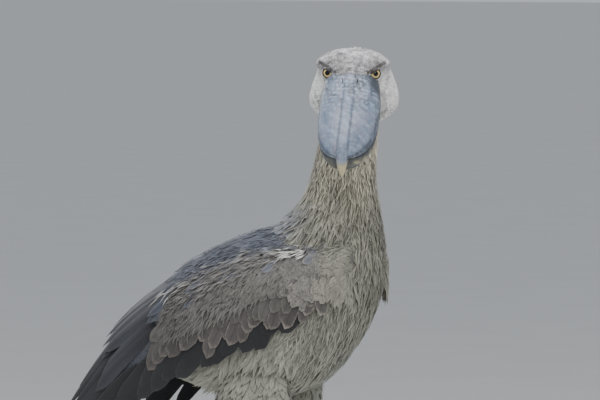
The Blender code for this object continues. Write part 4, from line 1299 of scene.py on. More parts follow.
def crest_coat():
    """Longer feathers behind the crown, in a low untidy tuft."""
    count = CREST_FEATHERS
    v = np.clip(rng.normal(0, 0.07, count), -0.16, 0.16)
    u = 0.10 + 0.12 * rng.uniform(0, 1, count)
    aside = 1.6 * v + 0.12 * rng.normal(size=count)
    flow = np.stack([-np.ones(count), aside, -0.30 + 0.12 * rng.normal(size=count)], axis=-1)
    flow = unit(flow) @ HEAD_TURN.T
    tint = varied(head_tint(HEAD.at(u, v)) * 0.92, 0.08)
    length = rng.uniform(0.018, 0.029, count)
    marks = mark_rows(count, 0.5, 0.5, 0.0)
    return feathers(HEAD, u, v, flow, length, 0.0095, PLUME_BLADE, tint, marks, low=-0.001,
                    rise=rng.uniform(0.002, 0.006, count), bend=0.15, thick=0.0004)


def downwards(surface, u, v, sag):
    """The way down the surface's length, drawn down by a sag."""
    return unit(unit(surface.slopes(u, v)[0]) - sag * UP)


def clumped(surface, u, v, flow, amount, size, seed):
    """The flow turned a little to one side or the other, clump by clump."""
    by_u, by_v = surface.slopes(u, v)
    across = unit(np.cross(unit(np.cross(by_u, by_v)), flow))
    angle = (amount * mottle(surface.at(u, v), size, seed))[:, None]
    return np.cos(angle) * flow + np.sin(angle) * across


def trunk_rows(start, stop, gap, spacing, first=0.0, last=1.0):
    u, v = TRUNK.rows(start, stop, gap, spacing, first, last)
    return u, v, round_from_breast(v)


def clear_of_head(roots):
    """Whether roots on the neck lie outside the head."""
    x, _, z = in_head(roots).T
    return ~((x > -0.06) & (z > -0.088))


def neck_coat():
    u, v, _ = trunk_rows(0.03, 0.40, 0.0068, 0.0043)
    roots = TRUNK.at(u, v)
    u, v, roots = only(clear_of_head(roots), u, v, roots)
    size = 0.020 + 0.014 * ease(u, 0.08, 0.35)
    flow = clumped(TRUNK, u, v, downwards(TRUNK, u, v, 0.45), 0.26, 0.026, 31)
    pale = (0.35 + 0.65 * ease(u, 0.10, 0.30))[:, None] ** (0, 1, 0)
    tint = varied(trunk_tint(roots, u, v), 0.10)
    length = size * rng.uniform(0.8, 1.25, len(u))
    width = 0.0050 + 0.0024 * ease(u, 0.1, 0.4)
    marks = mark_rows(len(u), 0.7, 0.7, 0.0) * pale
    rise = 0.0040 + 0.0010 * rng.normal(size=len(u)) + 0.0010 * mottle(roots, 0.022, 33)
    return feathers(TRUNK, u, v, flow, length, width, PLUME_BLADE, tint, marks, low=-0.0028,
                    rise=rise, bend=0.18, thick=0.0004, turn=0.14, ragged=0.12)


# Two layers of breast plumes: gap between rows and within them, length, width, root height and rise
BREAST_LAYERS = [
    (0.0105, 0.0062, 0.040, 0.0072, -0.0030, 0.0062),
    (0.0190, 0.0115, 0.070, 0.0105, -0.0018, 0.0085),
]


def breast_layer(gap, spacing, length, width, low, rise):
    u, v, around = trunk_rows(0.27, 0.60, gap, spacing)
    keep = (around < 0.54 - 0.16 * ease(u, 0.42, 0.58)) | ((u < 0.36) & (around < 0.75))
    u, v = only(keep, u, v)
    count = len(u)
    roots = TRUNK.at(u, v)
    flow = clumped(TRUNK, u, v, downwards(TRUNK, u, v, 0.8), 0.34, 0.036, 32)
    shade = ease(np.clip(mottle(roots, 0.045, 8), 0, 1), 0.25, 0.9)
    tint = varied(toward(trunk_tint(roots, u, v), BREAST_DARK, 0.45 * shade), 0.15)
    length = length * rng.uniform(0.72, 1.2, count) * (0.75 + 0.25 * ease(u, 0.28, 0.36))
    width = width * rng.uniform(0.8, 1.2, count)
    marks = mark_rows(count, 0.85, 0.8, 0.0)
    rise = rise * rng.uniform(0.5, 1.15, count) * (1 + 0.30 * mottle(roots, 0.030, 34))
    return feathers(TRUNK, u, v, flow, length, width, PLUME_BLADE, tint, marks, low=low,
                    rise=rise, bend=0.20, turn=0.14, ragged=0.10)


def wisps(surface, u, v, flow, tint, length, width, low, rise, spread):
    """Hair-fine frayed strands over the plumage, a little paler or darker than it."""
    count = len(u)
    shade = np.clip(1 + spread * rng.normal(size=count), 0.5, 1.45)
    length = length * rng.uniform(0.6, 1.3, count)
    marks = mark_rows(count, 0.2, 0.0, 0.0)
    return feathers(surface, u, v, flow, length, width, BODY_BLADE, tint * shade[:, None], marks,
                    low=low, rise=rise * rng.uniform(0.7, 1.2, count), bend=0.16, turn=0.13,
                    ragged=0.10, thick=0.0003, curl=0.3 * rise)


def trunk_wisps():
    u, v, around = trunk_rows(0.02, 0.64, 0.0078, 0.0054)
    roots = TRUNK.at(u, v)
    keep = clear_of_head(roots)
    keep &= (around < 0.60 - 0.14 * ease(u, 0.48, 0.60)) | (u < 0.34)
    u, v, roots = only(keep, u, v, roots)
    tint = trunk_tint(roots, u, v)
    length = 0.020 + 0.018 * ease(u, 0.10, 0.35)
    low = 0.0010 + 0.0018 * ease(u, 0.2, 0.4)
    return wisps(TRUNK, u, v, downwards(TRUNK, u, v, 0.6), tint, length, 0.0021, low, 0.0040, 0.2)


def flank_coat():
    """Long soft feathers that hang from the flanks over the tops of the thighs."""
    u, v, around = trunk_rows(0.50, 0.86, 0.0125, 0.0085)
    roots = TRUNK.at(u, v)
    x = (roots - SHIFT)[:, 0]
    keep = (around > 0.24) & (around < 0.72) & (np.abs(x + 0.045) < 0.125)
    u, v, roots = only(keep, u, v, roots)
    x, _, z = (roots - SHIFT).T
    near = 1 - ease(np.abs(x + 0.055), 0.05, 0.11)
    flow = unit(downwards(TRUNK, u, v, 0.2) + near[:, None] * -1.3 * UP)
    rise = 0.006 + 0.016 * near * ease(-z, -0.70, -0.62)
    return scattered(TRUNK, u, v, flow, trunk_tint(roots, u, v), 0.055, 0.050, (0.8, 1.25), 0.0105,
                     PLUME_BLADE, (0.4, 0.1, 0.0), low=-0.0015, rise=rise, power=1.9, bend=0.14,
                     turn=0.13, ragged=0.10)


def belly_coat():
    u, v, around = trunk_rows(0.46, 0.985, 0.0105, 0.0070)
    u, v = only(around < 0.74, u, v)
    roots = TRUNK.at(u, v)
    flow = clumped(TRUNK, u, v, downwards(TRUNK, u, v, 0.10), 0.22, 0.040, 35)
    return scattered(TRUNK, u, v, flow, trunk_tint(roots, u, v), 0.055, 0.031, (0.8, 1.2), 0.0090,
                     BODY_BLADE, (0.4, 0.1, 0.0), low=-0.0035, rise=0.0058, bend=0.12, turn=0.10,
                     ragged=0.12)


def mantle_coat():
    u, v, _ = trunk_rows(0.25, 0.97, 0.0200, 0.0150, 0.24, 0.76)
    flow = downwards(TRUNK, u, v, 0.0)
    tint = trunk_tint(TRUNK.at(u, v), u, v)
    size = 0.038 + 0.018 * ease(u, 0.28, 0.5)
    return scattered(TRUNK, u, v, flow, tint, 0.10, size, (0.85, 1.15), size * 0.42, COVERT_BLADE,
                     (0.30, 0.25, 0.3), low=-0.003, rise=0.0065, bend=0.06, turn=0.09)


def thigh_coat(name):
    surface = THIGHS[name]
    u, v = surface.rows(0.02, 0.975, 0.0088, 0.0058)
    count = len(u)
    flow = unit(unit(surface.slopes(u, v)[0]) + np.array([-0.12, 0, -0.1]))
    tint = BELLY * (1 + 0.10 * mottle(surface.at(u, v), 0.04, 9))[:, None]
    size = 0.022 + 0.008 * ease(-u, -0.9, -0.4) + 0.006 * ease(u, 0.85, 0.95)
    length = size * rng.uniform(0.8, 1.2, count)
    tint = varied(tint, 0.055)
    marks = mark_rows(count, 0.4, 0.1, 0.0)
    rise = 0.0048 + 0.0014 * rng.normal(size=count) + 0.003 * ease(-u, -0.35, 0.0)
    return feathers(surface, u, v, flow, length, 0.0082, BODY_BLADE, tint, marks, low=-0.0035,
                    rise=rise, bend=0.15, turn=0.13, ragged=0.12)


# Rows of the wing: blade, count, then from the first feather to the last the place along and
# down the wing, length, width, slope in degrees, then root height, rise, roll in degrees, tint,
# fringe from first to last, dark middle and gloss
WING_FEATHER_ROWS = [
    ("long", 7, (0.385, 0.440), (-0.110, 0.018), (0.285, 0.240), (0.036, 0.034), (5, -1),
     -0.0085, 0.0050, 5, "333336", (0.10, 0.10), 0.1, 0.5),
    ("long", 17, (0.060, 0.415), (0.026, 0.024), (0.056, 0.110, 0.168), (0.034, 0.038, 0.041),
     (62, 20), -0.0050, 0.0050, 5, "2c2c2e", (0.05, 0.05, 0.25), 0.15, 0.3),
    ("covert", 21, (0.036, 0.350), (0.000, -0.014), (0.056, 0.086, 0.096), (0.021, 0.026, 0.031),
     (76, 60, 40), -0.0040, 0.0085, 5, "565250", (0.60, 0.42, 0.25), 0.15, 0.1),
    ("covert", 21, (0.020, 0.322), (-0.018, -0.034), (0.050, 0.074, 0.080), (0.020, 0.023, 0.027),
     (74, 58, 40), -0.0035, 0.0090, 5, "5b5855", (0.65, 0.10, 0.10), 0.15, 0.05),
    ("covert", 19, (0.008, 0.300), (-0.034, -0.052), (0.042, 0.066), (0.019, 0.026), (70, 40),
     -0.0030, 0.0095, 5, "625f5c", (0.50, 0.05, 0.05), 0.15, 0.0),
    ("covert", 22, (-0.004, 0.280), (-0.047, -0.066), (0.038, 0.060), (0.017, 0.022), (66, 37),
     -0.0030, 0.0100, 5, "676561", (0.35, 0.05, 0.05), 0.15, 0.0),
    ("covert", 24, (-0.012, 0.255), (-0.060, -0.079), (0.036, 0.054), (0.015, 0.019), (60, 34),
     -0.0028, 0.0103, 5, "6d6b67", (0.25, 0.05), 0.15, 0.0),
    ("covert", 24, (-0.016, 0.225), (-0.072, -0.092), (0.032, 0.048), (0.014, 0.017), (52, 30),
     -0.0026, 0.0105, 5, "73716d", (0.25, 0.10), 0.15, 0.0),
    ("long", 8, (0.300, 0.385), (-0.178, -0.030), (0.240, 0.185), (0.036, 0.034), (4, 8),
     -0.0045, 0.0088, 5, "3c3d42", (0.25, 0.20), 0.3, 0.3),
    ("long", 10, (0.225, 0.290), (-0.184, -0.066), (0.165, 0.130), (0.028, 0.025), (6, 20),
     -0.0030, 0.0110, 6, "4b4e57", (0.40, 0.35), 0.4, 0.2),
    ("long", 12, (0.160, 0.212), (-0.184, -0.072), (0.140, 0.106), (0.023, 0.021), (7, 22),
     -0.0028, 0.0116, 6, "565962", (0.45, 0.40), 0.4, 0.2),
    ("long", 12, (0.100, 0.146), (-0.180, -0.077), (0.118, 0.090), (0.021, 0.019), (8, 24),
     -0.0026, 0.0121, 6, "636670", (0.60, 0.55), 0.4, 0.15),
    ("long", 12, (0.048, 0.086), (-0.172, -0.082), (0.096, 0.074), (0.019, 0.017), (9, 26),
     -0.0024, 0.0125, 6, "70737b", (0.65, 0.60), 0.4, 0.1),
    ("covert", 12, (-0.004, 0.030), (-0.158, -0.086), (0.066, 0.050), (0.016, 0.015), (12, 30),
     -0.0022, 0.0122, 6, "6e6f75", (0.60, 0.60), 0.4, 0.0),
]
BLADES = {"long": LONG_BLADE, "covert": COVERT_BLADE}


def wing_flow(surface, u, v, slope):
    """A way at a slope from the wing's length, down round it."""
    by_u, by_v = surface.slopes(u, v)
    along = by_u / (WING_SPAN[1] - WING_SPAN[0])
    down = by_v / (WING_LOW - WING_TOP)
    return unit(np.cos(slope)[:, None] * along + np.sin(slope)[:, None] * down)


def wing_row(surface, side, row):
    kind, count, along, down, length, width, slope, low, rise, roll, code, fringe, dark, gloss = row
    share = np.linspace(0, 1, count)
    along, down, length, width, slope, pale = (
        np.interp(share, np.linspace(0, 1, len(steps)), steps)
        for steps in (along, down, length, width, slope, fringe)
    )
    along = along + 0.004 * rng.normal(size=count)
    down = down + 0.0032 * rng.normal(size=count)
    length = length * (1 + 0.07 * rng.normal(size=count))
    width = width * (1 + 0.06 * rng.normal(size=count))
    slope = np.radians(slope + 3.5 * rng.normal(size=count))
    u, v = wing_share(along, down)
    flow = wing_flow(surface, u, v, slope)
    shade = 1 + 0.08 * mottle(surface.at(u, v), 0.07, 7) + 0.09 * rng.normal(size=count)
    tint = colour(code) * shade[:, None]
    lean = np.tan(np.radians(roll + 1.5 * rng.normal(size=count))) * side
    marks = mark_rows(count, pale, dark, gloss)
    rise = rise + 0.0008 * rng.normal(size=count)
    return feathers(surface, u, v, flow, length, width, BLADES[kind], tint, marks, low=low,
                    rise=rise, lean=lean, camber=0.10, turn=0.03, thick=0.0006, ragged=0.05,
                    bend=0.06, curl=0.0028)


# How many loose feathers lie over the front of one wing and along its silver streak
SHOULDER_FEATHERS = 330
CAPE_FEATHERS = 240
SILVER_PLUMES = 70


def shoulder_coat(surface):
    """Small soft feathers over the front of the wing, where it goes into the breast."""
    count = SHOULDER_FEATHERS
    along = rng.uniform(-0.024, 0.075, count)
    down = rng.uniform(-0.150, 0.020, count)
    order = np.argsort(along)
    along, down = along[order], down[order]
    u, v = wing_share(along, down)
    slope = 38 + 9 * rng.normal(size=count) + 140 * np.clip(down + 0.06, -0.05, 0.08)
    flow = wing_flow(surface, u, v, np.radians(slope))
    tint = wing_tint(surface.at(u, v), along, down) * 1.08
    return scattered(surface, u, v, flow, tint, 0.10, 0.034, (0.8, 1.25), 0.0125, COVERT_BLADE,
                     (0.5, 0.2, 0.0), low=-0.002, rise=0.0088, curl=0.002, turn=0.15, ragged=0.10,
                     bend=0.1)


def cape_coat(surface):
    """Soft feathers of the neck and breast that lie over the front edge of the wing."""
    count = CAPE_FEATHERS
    along = rng.uniform(-0.020, 0.014, count)
    down = rng.uniform(-0.180, 0.030, count)
    u, v = wing_share(along, down)
    slope = np.interp(down, (-0.18, -0.06, 0.03), (14, 42, 74)) + 12 * rng.normal(size=count)
    flow = wing_flow(surface, u, v, np.radians(slope))
    tint = wing_tint(surface.at(u, v), along, down)
    return scattered(surface, u, v, flow, tint, 0.12, 0.036, (0.7, 1.2), 0.0075, BODY_BLADE,
                     (0.35, 0.25, 0.0), low=0.0, rise=0.0105, curl=0.004, turn=0.12, ragged=0.18,
                     bend=0.08)


def silver_coat(surface):
    """Frayed pale plumes that show along the lower border of the shoulder feathers."""
    half = SILVER_PLUMES // 2
    share = np.sort(np.concatenate([rng.uniform(0, 0.22, half), rng.uniform(0.2, 1, half)]))
    count = len(share)
    along = 0.060 + 0.33 * share + 0.004 * rng.normal(size=count)
    down = -0.080 - 0.012 * np.sin(share * 3.0) + 0.006 * rng.normal(size=count)
    u, v = wing_share(along, down)
    flow = wing_flow(surface, u, v, np.radians(24 + 9 * rng.normal(size=count)))
    bright = 0.36 + 0.58 * ease(-share, -0.20, -0.08) + 0.25 * ease(share, 0.70, 0.80)
    length = rng.uniform(0.014, 0.032, count)
    tint = varied(SILVER * bright[:, None], 0.16)
    marks = mark_rows(count, 0.9, 0.0, 0.0)
    return feathers(surface, u, v, flow, length, 0.0030, PLUME_BLADE, tint, marks, low=0.0068,
                    rise=0.0040, turn=0.12, ragged=0.2, bend=0.18)


# How much higher the worn barbs end over the front of the wing, where the lobes show
FRONT_LOBES = 0.045
# The worn barbs over the coverts and over the shoulder feathers: count, the stretch along and
# down the wing, slope in degrees from front to rear, then root height, rise and spread of tint
WORN_BARBS = [
    (1500, (0.0, 0.36), (-0.088, 0.012), (72, 44), 0.0030, 0.0034, 0.10),
    (1400, (0.0, 0.34), (-0.180, -0.040), (16, 18), 0.0062, 0.0040, 0.30),
]


def wing_wisps(surface, count, along, down, slope, low, rise, spread):
    """Worn barbs that run over the feathers of the folded wing."""
    places = rng.uniform(*along, count)
    lowest = down[1] - FRONT_LOBES * (1 - ease(places, 0.03, 0.24))
    depths = down[0] + (lowest - down[0]) * rng.uniform(0, 1, count)
    u, v = wing_share(places, depths)
    turned = np.interp(places, along, slope) + 4.5 * rng.normal(size=count)
    flow = wing_flow(surface, u, v, np.radians(turned))
    tint = wing_tint(surface.at(u, v), places, depths)
    return wisps(surface, u, v, flow, tint, 0.027, 0.0020, low, rise, spread)


def wing_coat(name):
    side, surface = SIDES[name], WINGS[name]
    flight = [wing_row(surface, side, row) for row in WING_FEATHER_ROWS if row[0] == "long"]
    coverts = [wing_row(surface, side, row) for row in WING_FEATHER_ROWS if row[0] == "covert"]
    coverts += [shoulder_coat(surface), cape_coat(surface)]
    coverts += [wing_wisps(surface, *barbs) for barbs in WORN_BARBS]
    return flight, coverts + [silver_coat(surface)]


TAIL_PAIRS = 6
TAIL_HALF_WIDTH = 0.036
TAIL_VANE_WIDTH = 0.034
TAIL_STEP = 0.0019
TAIL_FAN = 0.07
TAIL_ROOF = 0.10
TAIL_TINT = colour("4a4a4e")
# The tail's coverts over and under it: side, length and tint
TAIL_COVERTS = [(1, 0.085, colour("55565c")), (-1, 0.075, colour("8b8880"))]
TAIL_COVERT_PAIRS = 5


def tail_surface(level, side, spread):
    """A flat strip on which one tail feather lies, rising from its root."""
    heading = unit(TAIL_ALONG + np.array([0, side * spread * TAIL_FAN, 0]))
    across = np.cross(TAIL_ABOVE, heading) * side
    aside = np.array([0, side * spread * TAIL_HALF_WIDTH * 0.62, 0])
    root = TAIL_ROOT + SHIFT + TAIL_ALONG * 0.012 + aside + TAIL_ABOVE * level
    out = np.linspace(0, TAIL_LENGTH * 1.02, 12)[:, None, None]
    sideways = np.linspace(-0.022, 0.022, 9)[None, :, None]
    roof = -TAIL_ROOF * (sideways * side + spread * TAIL_HALF_WIDTH)
    points = root + heading * out + across * sideways * side + TAIL_ABOVE * roof
    inside = points.mean(axis=1, keepdims=True) - TAIL_ABOVE * 0.01
    return Surface(points, False, inside), heading


def tail_vane(pair, side):
    spread = (pair + 0.5) / TAIL_PAIRS
    surface, heading = tail_surface(0.006 - TAIL_STEP * (pair + 0.25 * side), side, spread)
    tint = TAIL_TINT * (1 + 0.06 * rng.normal())
    length = TAIL_LENGTH * (1 - 0.05 * spread)
    return feathers(surface, [0.002], [0.5], heading, length, TAIL_VANE_WIDTH, LONG_BLADE,
                    tint[None], (0.25, 0.2, 0.4), low=0.0, rise=0.0, camber=0.03, turn=0.0,
                    thick=0.0008, ragged=0.03)


def tail_covert(above, length, tint, pair, side):
    spread = (pair + 0.3) / TAIL_PAIRS
    level = 0.0085 + 0.0004 * pair if above > 0 else -0.0085 - 0.0006 * pair
    surface, heading = tail_surface(level, side, spread)
    tint = tint * (1 + 0.06 * rng.normal())
    return feathers(surface, [0.002 + 0.03 * (pair % 3)], [0.5], heading,
                    length * rng.uniform(0.85, 1.1), 0.022, COVERT_BLADE, tint[None],
                    (0.4, 0.2, 0.3), low=0.0, rise=0.002 * above, camber=0.04, turn=0.05,
                    ragged=0.05)


def tail_coat():
    vanes = [tail_vane(pair, side) for pair in range(TAIL_PAIRS) for side in (-1, 1)]
    for layer in TAIL_COVERTS:
        for pair in range(TAIL_COVERT_PAIRS):
            vanes += [tail_covert(*layer, pair, side) for side in (-1, 1)]
    return vanes


def make_coat():
    soft = feather_finish("soft grey plumage", "c3c0b8", 0.45, 0.82, 0.25)
    slate = feather_finish("slate plumage", "8d8f95", 0.45, 0.80, 0.20, 6.0)
    covert = feather_finish("covert feathers", "b8aea1", 0.45, 0.80, 0.22, 6.0)
    flight = feather_finish("flight feathers", "7c7a78", 0.40, 0.74, 0.25, 6.0)
    head = [head_band(*band) for band in HEAD_BANDS]
    coat_piece("head_coat", head + [crest_coat()], soft, "plumage_grey")
    coat_piece("neck_coat", [neck_coat()], soft, "plumage_grey")
    breast = [breast_layer(*layer) for layer in BREAST_LAYERS]
    coat_piece("breast_coat", breast + [trunk_wisps()], soft, "plumage_grey")
    coat_piece("belly_coat", [belly_coat(), flank_coat()], soft, "plumage_grey")
    coat_piece("mantle_coat", [mantle_coat()], slate, "plumage_slate")
    for name in SIDES:
        coat_piece(f"thigh_coat_{name}", [thigh_coat(name)], soft, "plumage_grey")
        long_ones, short_ones = wing_coat(name)
        coat_piece(f"wing_flight_{name}", long_ones, flight, "plumage_slate", f"wing_{name}")
        coat_piece(f"wing_coverts_{name}", short_ones, covert, "plumage_slate")
    coat_piece("tail_coat", tail_coat(), flight, "plumage_slate", "tail")


# Bill, in the head's frame: x, half width, ridge z and edge z of the upper half, and how
# slowly its sides round off to a dome
UPPER_BILL_SECTIONS = [
    (-0.010, 0.0430, 0.0150, -0.046, 0.50),
    (0.016, 0.0500, 0.0145, -0.047, 0.50),
    (0.050, 0.0530, 0.0080, -0.049, 0.54),
    (0.090, 0.0535, -0.0020, -0.051, 0.60),
    (0.124, 0.0505, -0.0110, -0.053, 0.66),
    (0.150, 0.0435, -0.0190, -0.054, 0.72),
    (0.168, 0.0335, -0.0270, -0.054, 0.75),
    (0.180, 0.0215, -0.0350, -0.053, 0.75),
    (0.186, 0.0090, -0.0400, -0.052, 0.75),
]
# x, half width, edge z and keel z of the lower half
LOWER_BILL_SECTIONS = [
    (-0.010, 0.046, -0.050, -0.096),
    (0.030, 0.0500, -0.0515, -0.100),
    (0.080, 0.0515, -0.0530, -0.098),
    (0.125, 0.0485, -0.0555, -0.095),
    (0.152, 0.0410, -0.0565, -0.092),
    (0.170, 0.0290, -0.0565, -0.088),
    (0.179, 0.0150, -0.0560, -0.080),
]
# x, z, half width and half thickness along the hook
HOOK_SECTIONS = [
    (0.150, -0.0262, 0.0080, 0.0060),
    (0.170, -0.0345, 0.0105, 0.0095),
    (0.182, -0.0460, 0.0110, 0.0110),
    (0.190, -0.0600, 0.0090, 0.0080),
    (0.1945, -0.0730, 0.0055, 0.0048),
    (0.1955, -0.0820, 0.0018, 0.0016),
]
RIDGE_HALF_WIDTH = 0.0085
RIDGE_HEIGHT = 0.0028
GROOVE_DEPTH = 0.0016
CREASE_DEPTH = 0.0007
BILL_VOXEL = 0.00105
NOSTRIL_PLACE = 1.75
NOSTRIL_LENGTH = 0.012
NOSTRIL_WIDTH = 0.0018
HOOK_GAP = 0.0006


def hump(values, middle, width):
    """A smooth rise to 1 round a middle."""
    return np.exp(-(((values - middle) / width) ** 2))


def closed_ring(x, y, z, half, edge, bow):
    """An arch of the bill from edge to edge, closed by a shallow bow."""
    across = np.linspace(-half, half, len(y))[1:-1]
    y = np.concatenate([y, across])
    z = np.concatenate([z, edge + bow * (1 - (across / half) ** 2)])
    return head_points(np.column_stack([np.full(len(y), x), y, z]))


def upper_bill_ring(place, sides=120):
    """The dome of the upper half, with its ridge, a groove beside it and a fine crease."""
    x, half, ridge, edge, roundness = row_at(UPPER_BILL_SECTIONS, place)
    turns = np.linspace(0, math.pi, sides // 2 + 1)
    y = half * np.cos(turns)
    z = edge + (ridge - edge) * np.clip(np.sin(turns), 0, 1) ** roundness
    spread = np.abs(y) / RIDGE_HALF_WIDTH
    strength = min(1.0, half / 0.03)
    rise = RIDGE_HEIGHT * (1 - ease(spread, 0.75, 1.25))
    z += strength * rise * (0.55 + 0.45 * ease(place, 1.5, 4.0))
    groove = strength * (0.35 + 0.65 * ease(place, 2.0, 5.0)) * GROOVE_DEPTH
    z -= groove * hump(spread, 1.35, 0.28)
    z -= CREASE_DEPTH * strength * hump(spread, 0.42, 0.16) * ease(place, 2.2, 3.4)
    return closed_ring(x, y, z, half, edge, 0.004)


def lower_bill_ring(place, sides=96):
    x, half, edge, keel = row_at(LOWER_BILL_SECTIONS, place)
    turns = np.linspace(0, math.pi, sides // 2 + 1)
    z = edge - (edge - keel) * np.clip(np.sin(turns), 0, 1) ** 0.62
    return closed_ring(x, half * np.cos(turns), z, half, edge, 0.003)


def hook_mesh(grow=0.0):
    turns = full_turn(32)
    places = np.linspace(0, len(HOOK_SECTIONS) - 1, 40)
    rows = rows_at(HOOK_SECTIONS, places)
    slopes = unit(np.gradient(rows[:, :2], axis=0))
    rings = []
    for (x, z, half, thick), slope in zip(rows, slopes):
        offset = np.sin(turns)[:, None] * (thick + grow) * np.array([-slope[1], slope[0]])
        ring = np.column_stack([x + offset[:, 0], (half + grow) * np.cos(turns), z + offset[:, 1]])
        rings.append(head_points(ring))
    return lofted("hook", rings)


def slit_mesh(side):
    """A nostril: a short curved slit in the groove beside the ridge."""
    x, _, ridge = row_at(UPPER_BILL_SECTIONS, NOSTRIL_PLACE)[:3]
    turns = full_turn(14)
    rings = []
    for step in np.linspace(-0.5, 0.5, 15):
        half = NOSTRIL_WIDTH / 2 * math.sqrt(1.03 - (2 * step) ** 2)
        y = side * (0.0128 + 0.0012 * (2 * step) ** 2) + half * np.cos(turns)
        z = ridge - 0.0030 + 0.0045 * np.sin(turns) - 0.25 * step * 0.014
        rings.append(head_points(np.column_stack([np.full(14, x + step * NOSTRIL_LENGTH), y, z])))
    return lofted("slit", rings)


def lower_bill_marks(points, x, y, z, soft):
    """Dark olive horn with a yellower patch at the tip, darker still as painted shade under the
    upper half, most at its top edge.
    """
    # The dark share rises towards the top edge: painted shade under the rim of the upper half.
    dark = 0.55 + 0.35 * ease(soft, -0.5, 0.5) + 0.5 * ease(z, -0.066, -0.057)
    yellow = 0.34 + 0.20 * ease(y, 0.004, 0.016)
    yellow = yellow * ease(mottle(points, 0.022, 24), 0.1, 0.8)
    yellow = yellow * ease(x, 0.13, 0.165) * ease(-z, 0.058, 0.066)
    return np.stack([np.clip(dark, 0, 0.92), 0 * x, yellow], axis=-1)


def bill_marks(points, lower=False):
    """Shares of dark, of pale and of yellow horn at points of the bill."""
    x, y, z = in_head(points).T
    y = y + BILL_LEAN * np.clip(x / BILL_REACH, 0, None) ** 2
    soft = mottle(points, 0.020, 21)
    if lower:
        return lower_bill_marks(points, x, y, z, soft)
    stations = np.array(UPPER_BILL_SECTIONS)
    edge = np.abs(y) / np.interp(x, stations[:, 0], stations[:, 1])
    spread = np.abs(y) / RIDGE_HALF_WIDTH
    near_face = ease(-x, -0.120, -0.045)
    # Dark: painted shade in the groove, the border of the plate over the nostrils, the corners
    # beside the eyes, spots and flecks, the left half and the cutting edge
    groove = hump(spread, 1.30, 0.13) * ease(x, 0.06, 0.13)
    plate = 0.0215 - 0.0125 * ease(x, 0.045, 0.105)
    border = hump(np.abs(y), plate, 0.0011) * (1 - ease(x, 0.075, 0.11))
    spots = ease(mottle(points, 0.013, 22), 0.30, 0.9)
    flecks = ease(mottle(points, 0.0055, 23), 0.35, 0.9)
    corner = ease(-x, -0.054, -0.038) * ease(np.abs(y), 0.029, 0.040)
    corner = corner * np.clip(0.70 + 9.0 * y, 0, 1)
    left_half = ease(y, -0.025, 0.020) * ease(mottle(points, 0.030, 27), -0.8, 0.4)
    dark = 0.22 * groove + 0.24 * border + 0.50 * spots * near_face + 0.95 * corner
    dark = dark + (0.14 + 0.32 * near_face) * flecks + 0.26 * left_half
    dark = dark + 0.40 * ease(edge, 0.93, 1.0) * ease(x, 0.02, 0.06)
    dark = dark + 0.32 * ease(soft, 0.1, 0.9) * (0.35 + 0.65 * near_face)
    dark = dark + 0.30 * ease(mottle(points, 0.040, 25), 0.1, 0.8) * near_face
    # Pale: the ridge, soft patches, flecks near the face, and a painted highlight in a band inside
    # the cutting edge
    ridge = (1 - ease(spread, 0.6, 1.1)) * ease(x, 0.07, 0.13)
    pale = 0.10 * ridge + 0.22 * ease(-soft, 0.1, 0.8)
    pale = pale + (0.20 + 0.45 * near_face) * ease(-mottle(points, 0.0100, 26), 0.3, 0.9)
    # A painted highlight: a pale band along the sides, inside the cutting edge.
    pale = pale + 0.16 * ease(edge, 0.70, 0.86) * (1 - ease(edge, 0.90, 0.98))
    pale = pale * (1 - corner)
    nail = ease(-z, 0.048, 0.062) * ease(x, 0.172, 0.184)
    dark, pale = (np.clip(v, 0, top) * (1 - nail) for v, top in ((dark, 0.95), (pale, 0.7)))
    return np.stack([dark, pale, nail], axis=-1)


def finish_bill(made, material, lower, *nodes):
    points = points_of(made.data)
    local = in_head(points)
    map_points(made.data, "Bill", np.stack([local[:, 1] * 10, local[:, 0] * 10], axis=-1))
    paint(made.data, "Marks", bill_marks(points, lower))
    made.data.shade_smooth()
    return finish_piece(made, material, "bill_horn", *nodes)


def make_bill():
    places = np.linspace(0, len(UPPER_BILL_SECTIONS) - 1, 150)
    meshes = [lofted("upper", [upper_bill_ring(place) for place in places]), hook_mesh()]
    upper = melted("upper_bill", meshes, BILL_VOXEL, 2)
    cut(upper, [slit_mesh(side) for side in (-1, 1)])
    horn = bill_finish("blue-grey horn", "6c7c92", "7f8292", "33415a", 38.0, 0.42)
    finish_bill(upper, horn, False, "bill_upper")
    places = np.linspace(0, len(LOWER_BILL_SECTIONS) - 1, 110)
    rings = [lower_bill_ring(place) for place in places]
    lower = object_from(lofted("lower_bill", rings), "lower_bill")
    cut(lower, [hook_mesh(HOOK_GAP)])
    horn = bill_finish("olive horn", "77755f", "8a8462", "3c4043", 40.0, 0.45)
    finish_bill(lower, horn, True, "bill_lower")


# Half the angle that the iris spans, seen from the middle of the eye
IRIS_ANGLE = 0.74
EYE_CLEARANCE = 0.0002
# How far the ball lies under the eye's radius, and how far the clear bulge stands over the ball
BALL_INSET = 0.0007
BULGE_HEIGHT = 0.0008


def gaze(name):
    """Where the iris points, between the eye's own axis and the way the bird stares."""
    stare = np.array([math.sin(CAMERA_TURN), -math.cos(CAMERA_TURN), math.tan(CAMERA_RISE)])
    return unit(0.45 * eye_direction(name) + 0.55 * unit(stare))


